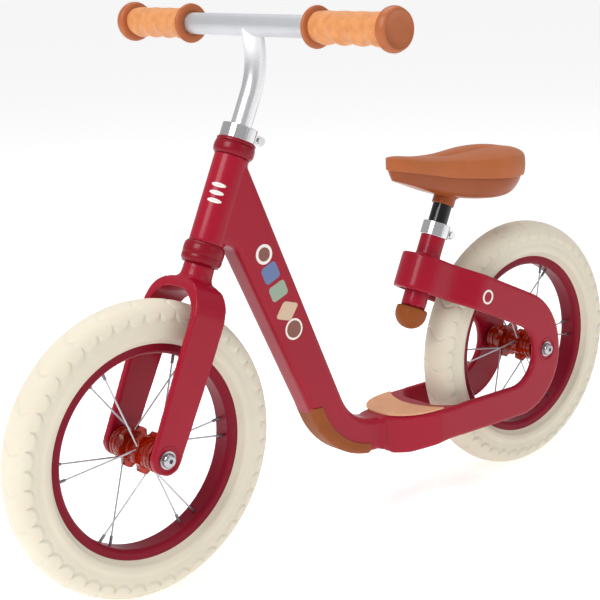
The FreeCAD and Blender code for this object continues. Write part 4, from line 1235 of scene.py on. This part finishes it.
@dataclass
class Studio:
    """Pale floor, soft lights and the camera."""

    camera_place: tuple[float, float, float] = (1.00247, 1.12929, 0.61634)
    heading: float = 48.598
    dip: float = 13.59
    roll: float = -1.404
    lens: float = 85.64
    shift: tuple[float, float] = (-0.072, 0.0009)

    def build(self) -> None:
        """Sets the whole studio up."""
        self.world()
        self.floor()
        self.lights()
        self.camera()

    def camera(self) -> None:
        """Places the camera by its heading, dip and roll."""
        heading, dip, roll = (math.radians(a) for a in (self.heading, self.dip, self.roll))
        look = Vector(
            (
                -math.cos(dip) * math.cos(heading),
                -math.cos(dip) * math.sin(heading),
                -math.sin(dip),
            )
        )
        level = look.cross(Vector((0, 0, 1))).normalized()
        upright = level.cross(look)
        right = level * math.cos(roll) + upright * math.sin(roll)
        up = upright * math.cos(roll) - level * math.sin(roll)
        data = bpy.data.cameras.new("studio_camera")
        data.lens = self.lens
        data.sensor_width = 36
        data.shift_x, data.shift_y = self.shift
        data.clip_end = 200
        camera = bpy.data.objects.new("studio_camera", data)
        bpy.context.scene.collection.objects.link(camera)
        turn = Matrix((right, up, -look)).transposed().to_4x4()
        camera.matrix_world = Matrix.Translation(Vector(self.camera_place)) @ turn
        bpy.context.scene.camera = camera

    def world(self) -> None:
        """An even white surround."""
        world = bpy.data.worlds.new("studio_surround")
        bpy.context.scene.world = world
        world.use_nodes = True
        ground = world.node_tree.nodes["Background"]
        ground.inputs["Color"].default_value = (1, 1, 1, 1)
        ground.inputs["Strength"].default_value = 0.5
        bpy.context.scene.view_settings.view_transform = "Standard"

    def floor(self) -> None:
        """A wide flat pale floor under the wheels."""
        bm = bmesh.new()
        bmesh.ops.create_grid(bm, x_segments=1, y_segments=1, size=45)
        mesh = bpy.data.meshes.new("studio_floor")
        bm.to_mesh(mesh)
        bm.free()
        floor = bpy.data.objects.new("studio_floor", mesh)
        bpy.context.scene.collection.objects.link(floor)
        # Matte white paper: no gloss, so only soft contact shadows show on it.
        paper = bpy.data.materials.new("white_paper")
        paper.use_nodes = True
        shader = paper.node_tree.nodes["Principled BSDF"]
        shader.inputs["Base Color"].default_value = linear("#FBFBFB")
        shader.inputs["Roughness"].default_value = 0.9
        shader.inputs["Specular IOR Level"].default_value = 0.1
        shader.inputs["Emission Color"].default_value = (1, 1, 1, 1)
        shader.inputs["Emission Strength"].default_value = 0.44
        mesh.materials.append(paper)
        floor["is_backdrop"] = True

    def lights(self) -> None:
        """One broad key, a fill from the other side and a strip over the top."""
        for name, place, size, power in (
            ("key", (1.9, 0.3, 1.9), 1.2, 36.0),
            ("fill", (-1.0, 2.4, 1.4), 1.6, 8.0),
            ("top", (-0.3, -0.5, 2.4), 1.4, 18.0),
        ):
            data = bpy.data.lights.new(name, "AREA")
            data.shape = "SQUARE"
            data.size = size
            data.energy = power
            lamp = bpy.data.objects.new(name, data)
            bpy.context.scene.collection.objects.link(lamp)
            lamp.location = place
            aim = Vector((0, 0, 0.25)) - Vector(place)
            lamp.rotation_euler = aim.to_track_quat("-Z", "Y").to_euler()


# ------------------------------------------------------------------ dressing


@dataclass
class Dresser:
    """Gives each carried-over CAD node the finish of its record slot."""

    finishes: tuple[Finish, ...] = (
        RED_ENAMEL, RED_NYLON, EVA_FOAM, AMBER_PLASTIC, DRAWN_STEEL, CHROME_PLATE,
        SATIN_ALUMINIUM, BLACK_COAT, OCHRE_RUBBER, PEACH_GRIP, TAN_LEATHER, BROWN_SHELL,
        MARBLED_RUBBER, BROWN_RUBBER,
    )

    def dress(self, frame: dict) -> None:
        """Assigns the materials.
        """
        by_slot = {finish.slot: finish for finish in self.finishes}
        slots = {s["node"]: s["material_slot"] for s in frame["record"]["subparts"]}
        for name, node in frame["nodes"].items():
            finish = by_slot[slots[name]]
            if name.endswith("_nipples"):
                finish = DULL_NICKEL
            elif "_bolt_" in name:
                finish = ZINC_BOLT
            elif name == "crossbar":
                finish = BLASTED_ALUMINIUM
            node.data.materials.clear()
            node.data.materials.append(finish.material())


FRAME_PARTS = (
    "head_tube", "down_beam", "footrest_deck", "left_stay", "right_stay", "seat_loop",
    "seat_tube",
)


def corners(box: tuple[Vector, Vector]) -> list[list[float]]:
    """A box as plain lists of numbers."""
    return [[float(x) for x in corner] for corner in box]


def main() -> None:
    """Builds the whole scene."""
    logging.basicConfig(level=logging.INFO, format="%(message)s")
    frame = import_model()
    cad_box = corners(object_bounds())
    Studio().build()
    Dresser().dress(frame)
    nodes = frame["nodes"]
    DeckShoulder().shape(Casting("frame_casting", "frame", FRAME_PARTS).build(nodes))
    Casting(
        "fork_casting", "fork", ("fork_arch",), voxel_mm=1.4, passes=4,
        fillets=((201.0, 0.0, 308.0, 30.0, 26),),
    ).build(nodes)
    steering = next(j for j in frame["record"]["behaviour"]["joints"] if j["name"] == "steering")
    headset = Headset(nodes, Vector(steering["axis"]).normalized(), Vector(steering["pos_m"]))
    headset.build()
    for sticker in STICKERS:
        sticker.build()
    add_emblems(headset)
    for side in ("front", "rear"):
        FoamTyre(side).build()
    AxleRing("front", "fork_arch", "fork").build()
    AxleRing("rear", "left_stay", "frame").build()
    Saddle().build()
    FootrestGrip().build()
    Grip("left", 1).build()
    Grip("right", -1).build()
    {"cad": cad_box, "visual": corners(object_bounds())}


if __name__ == "__main__":
    main()
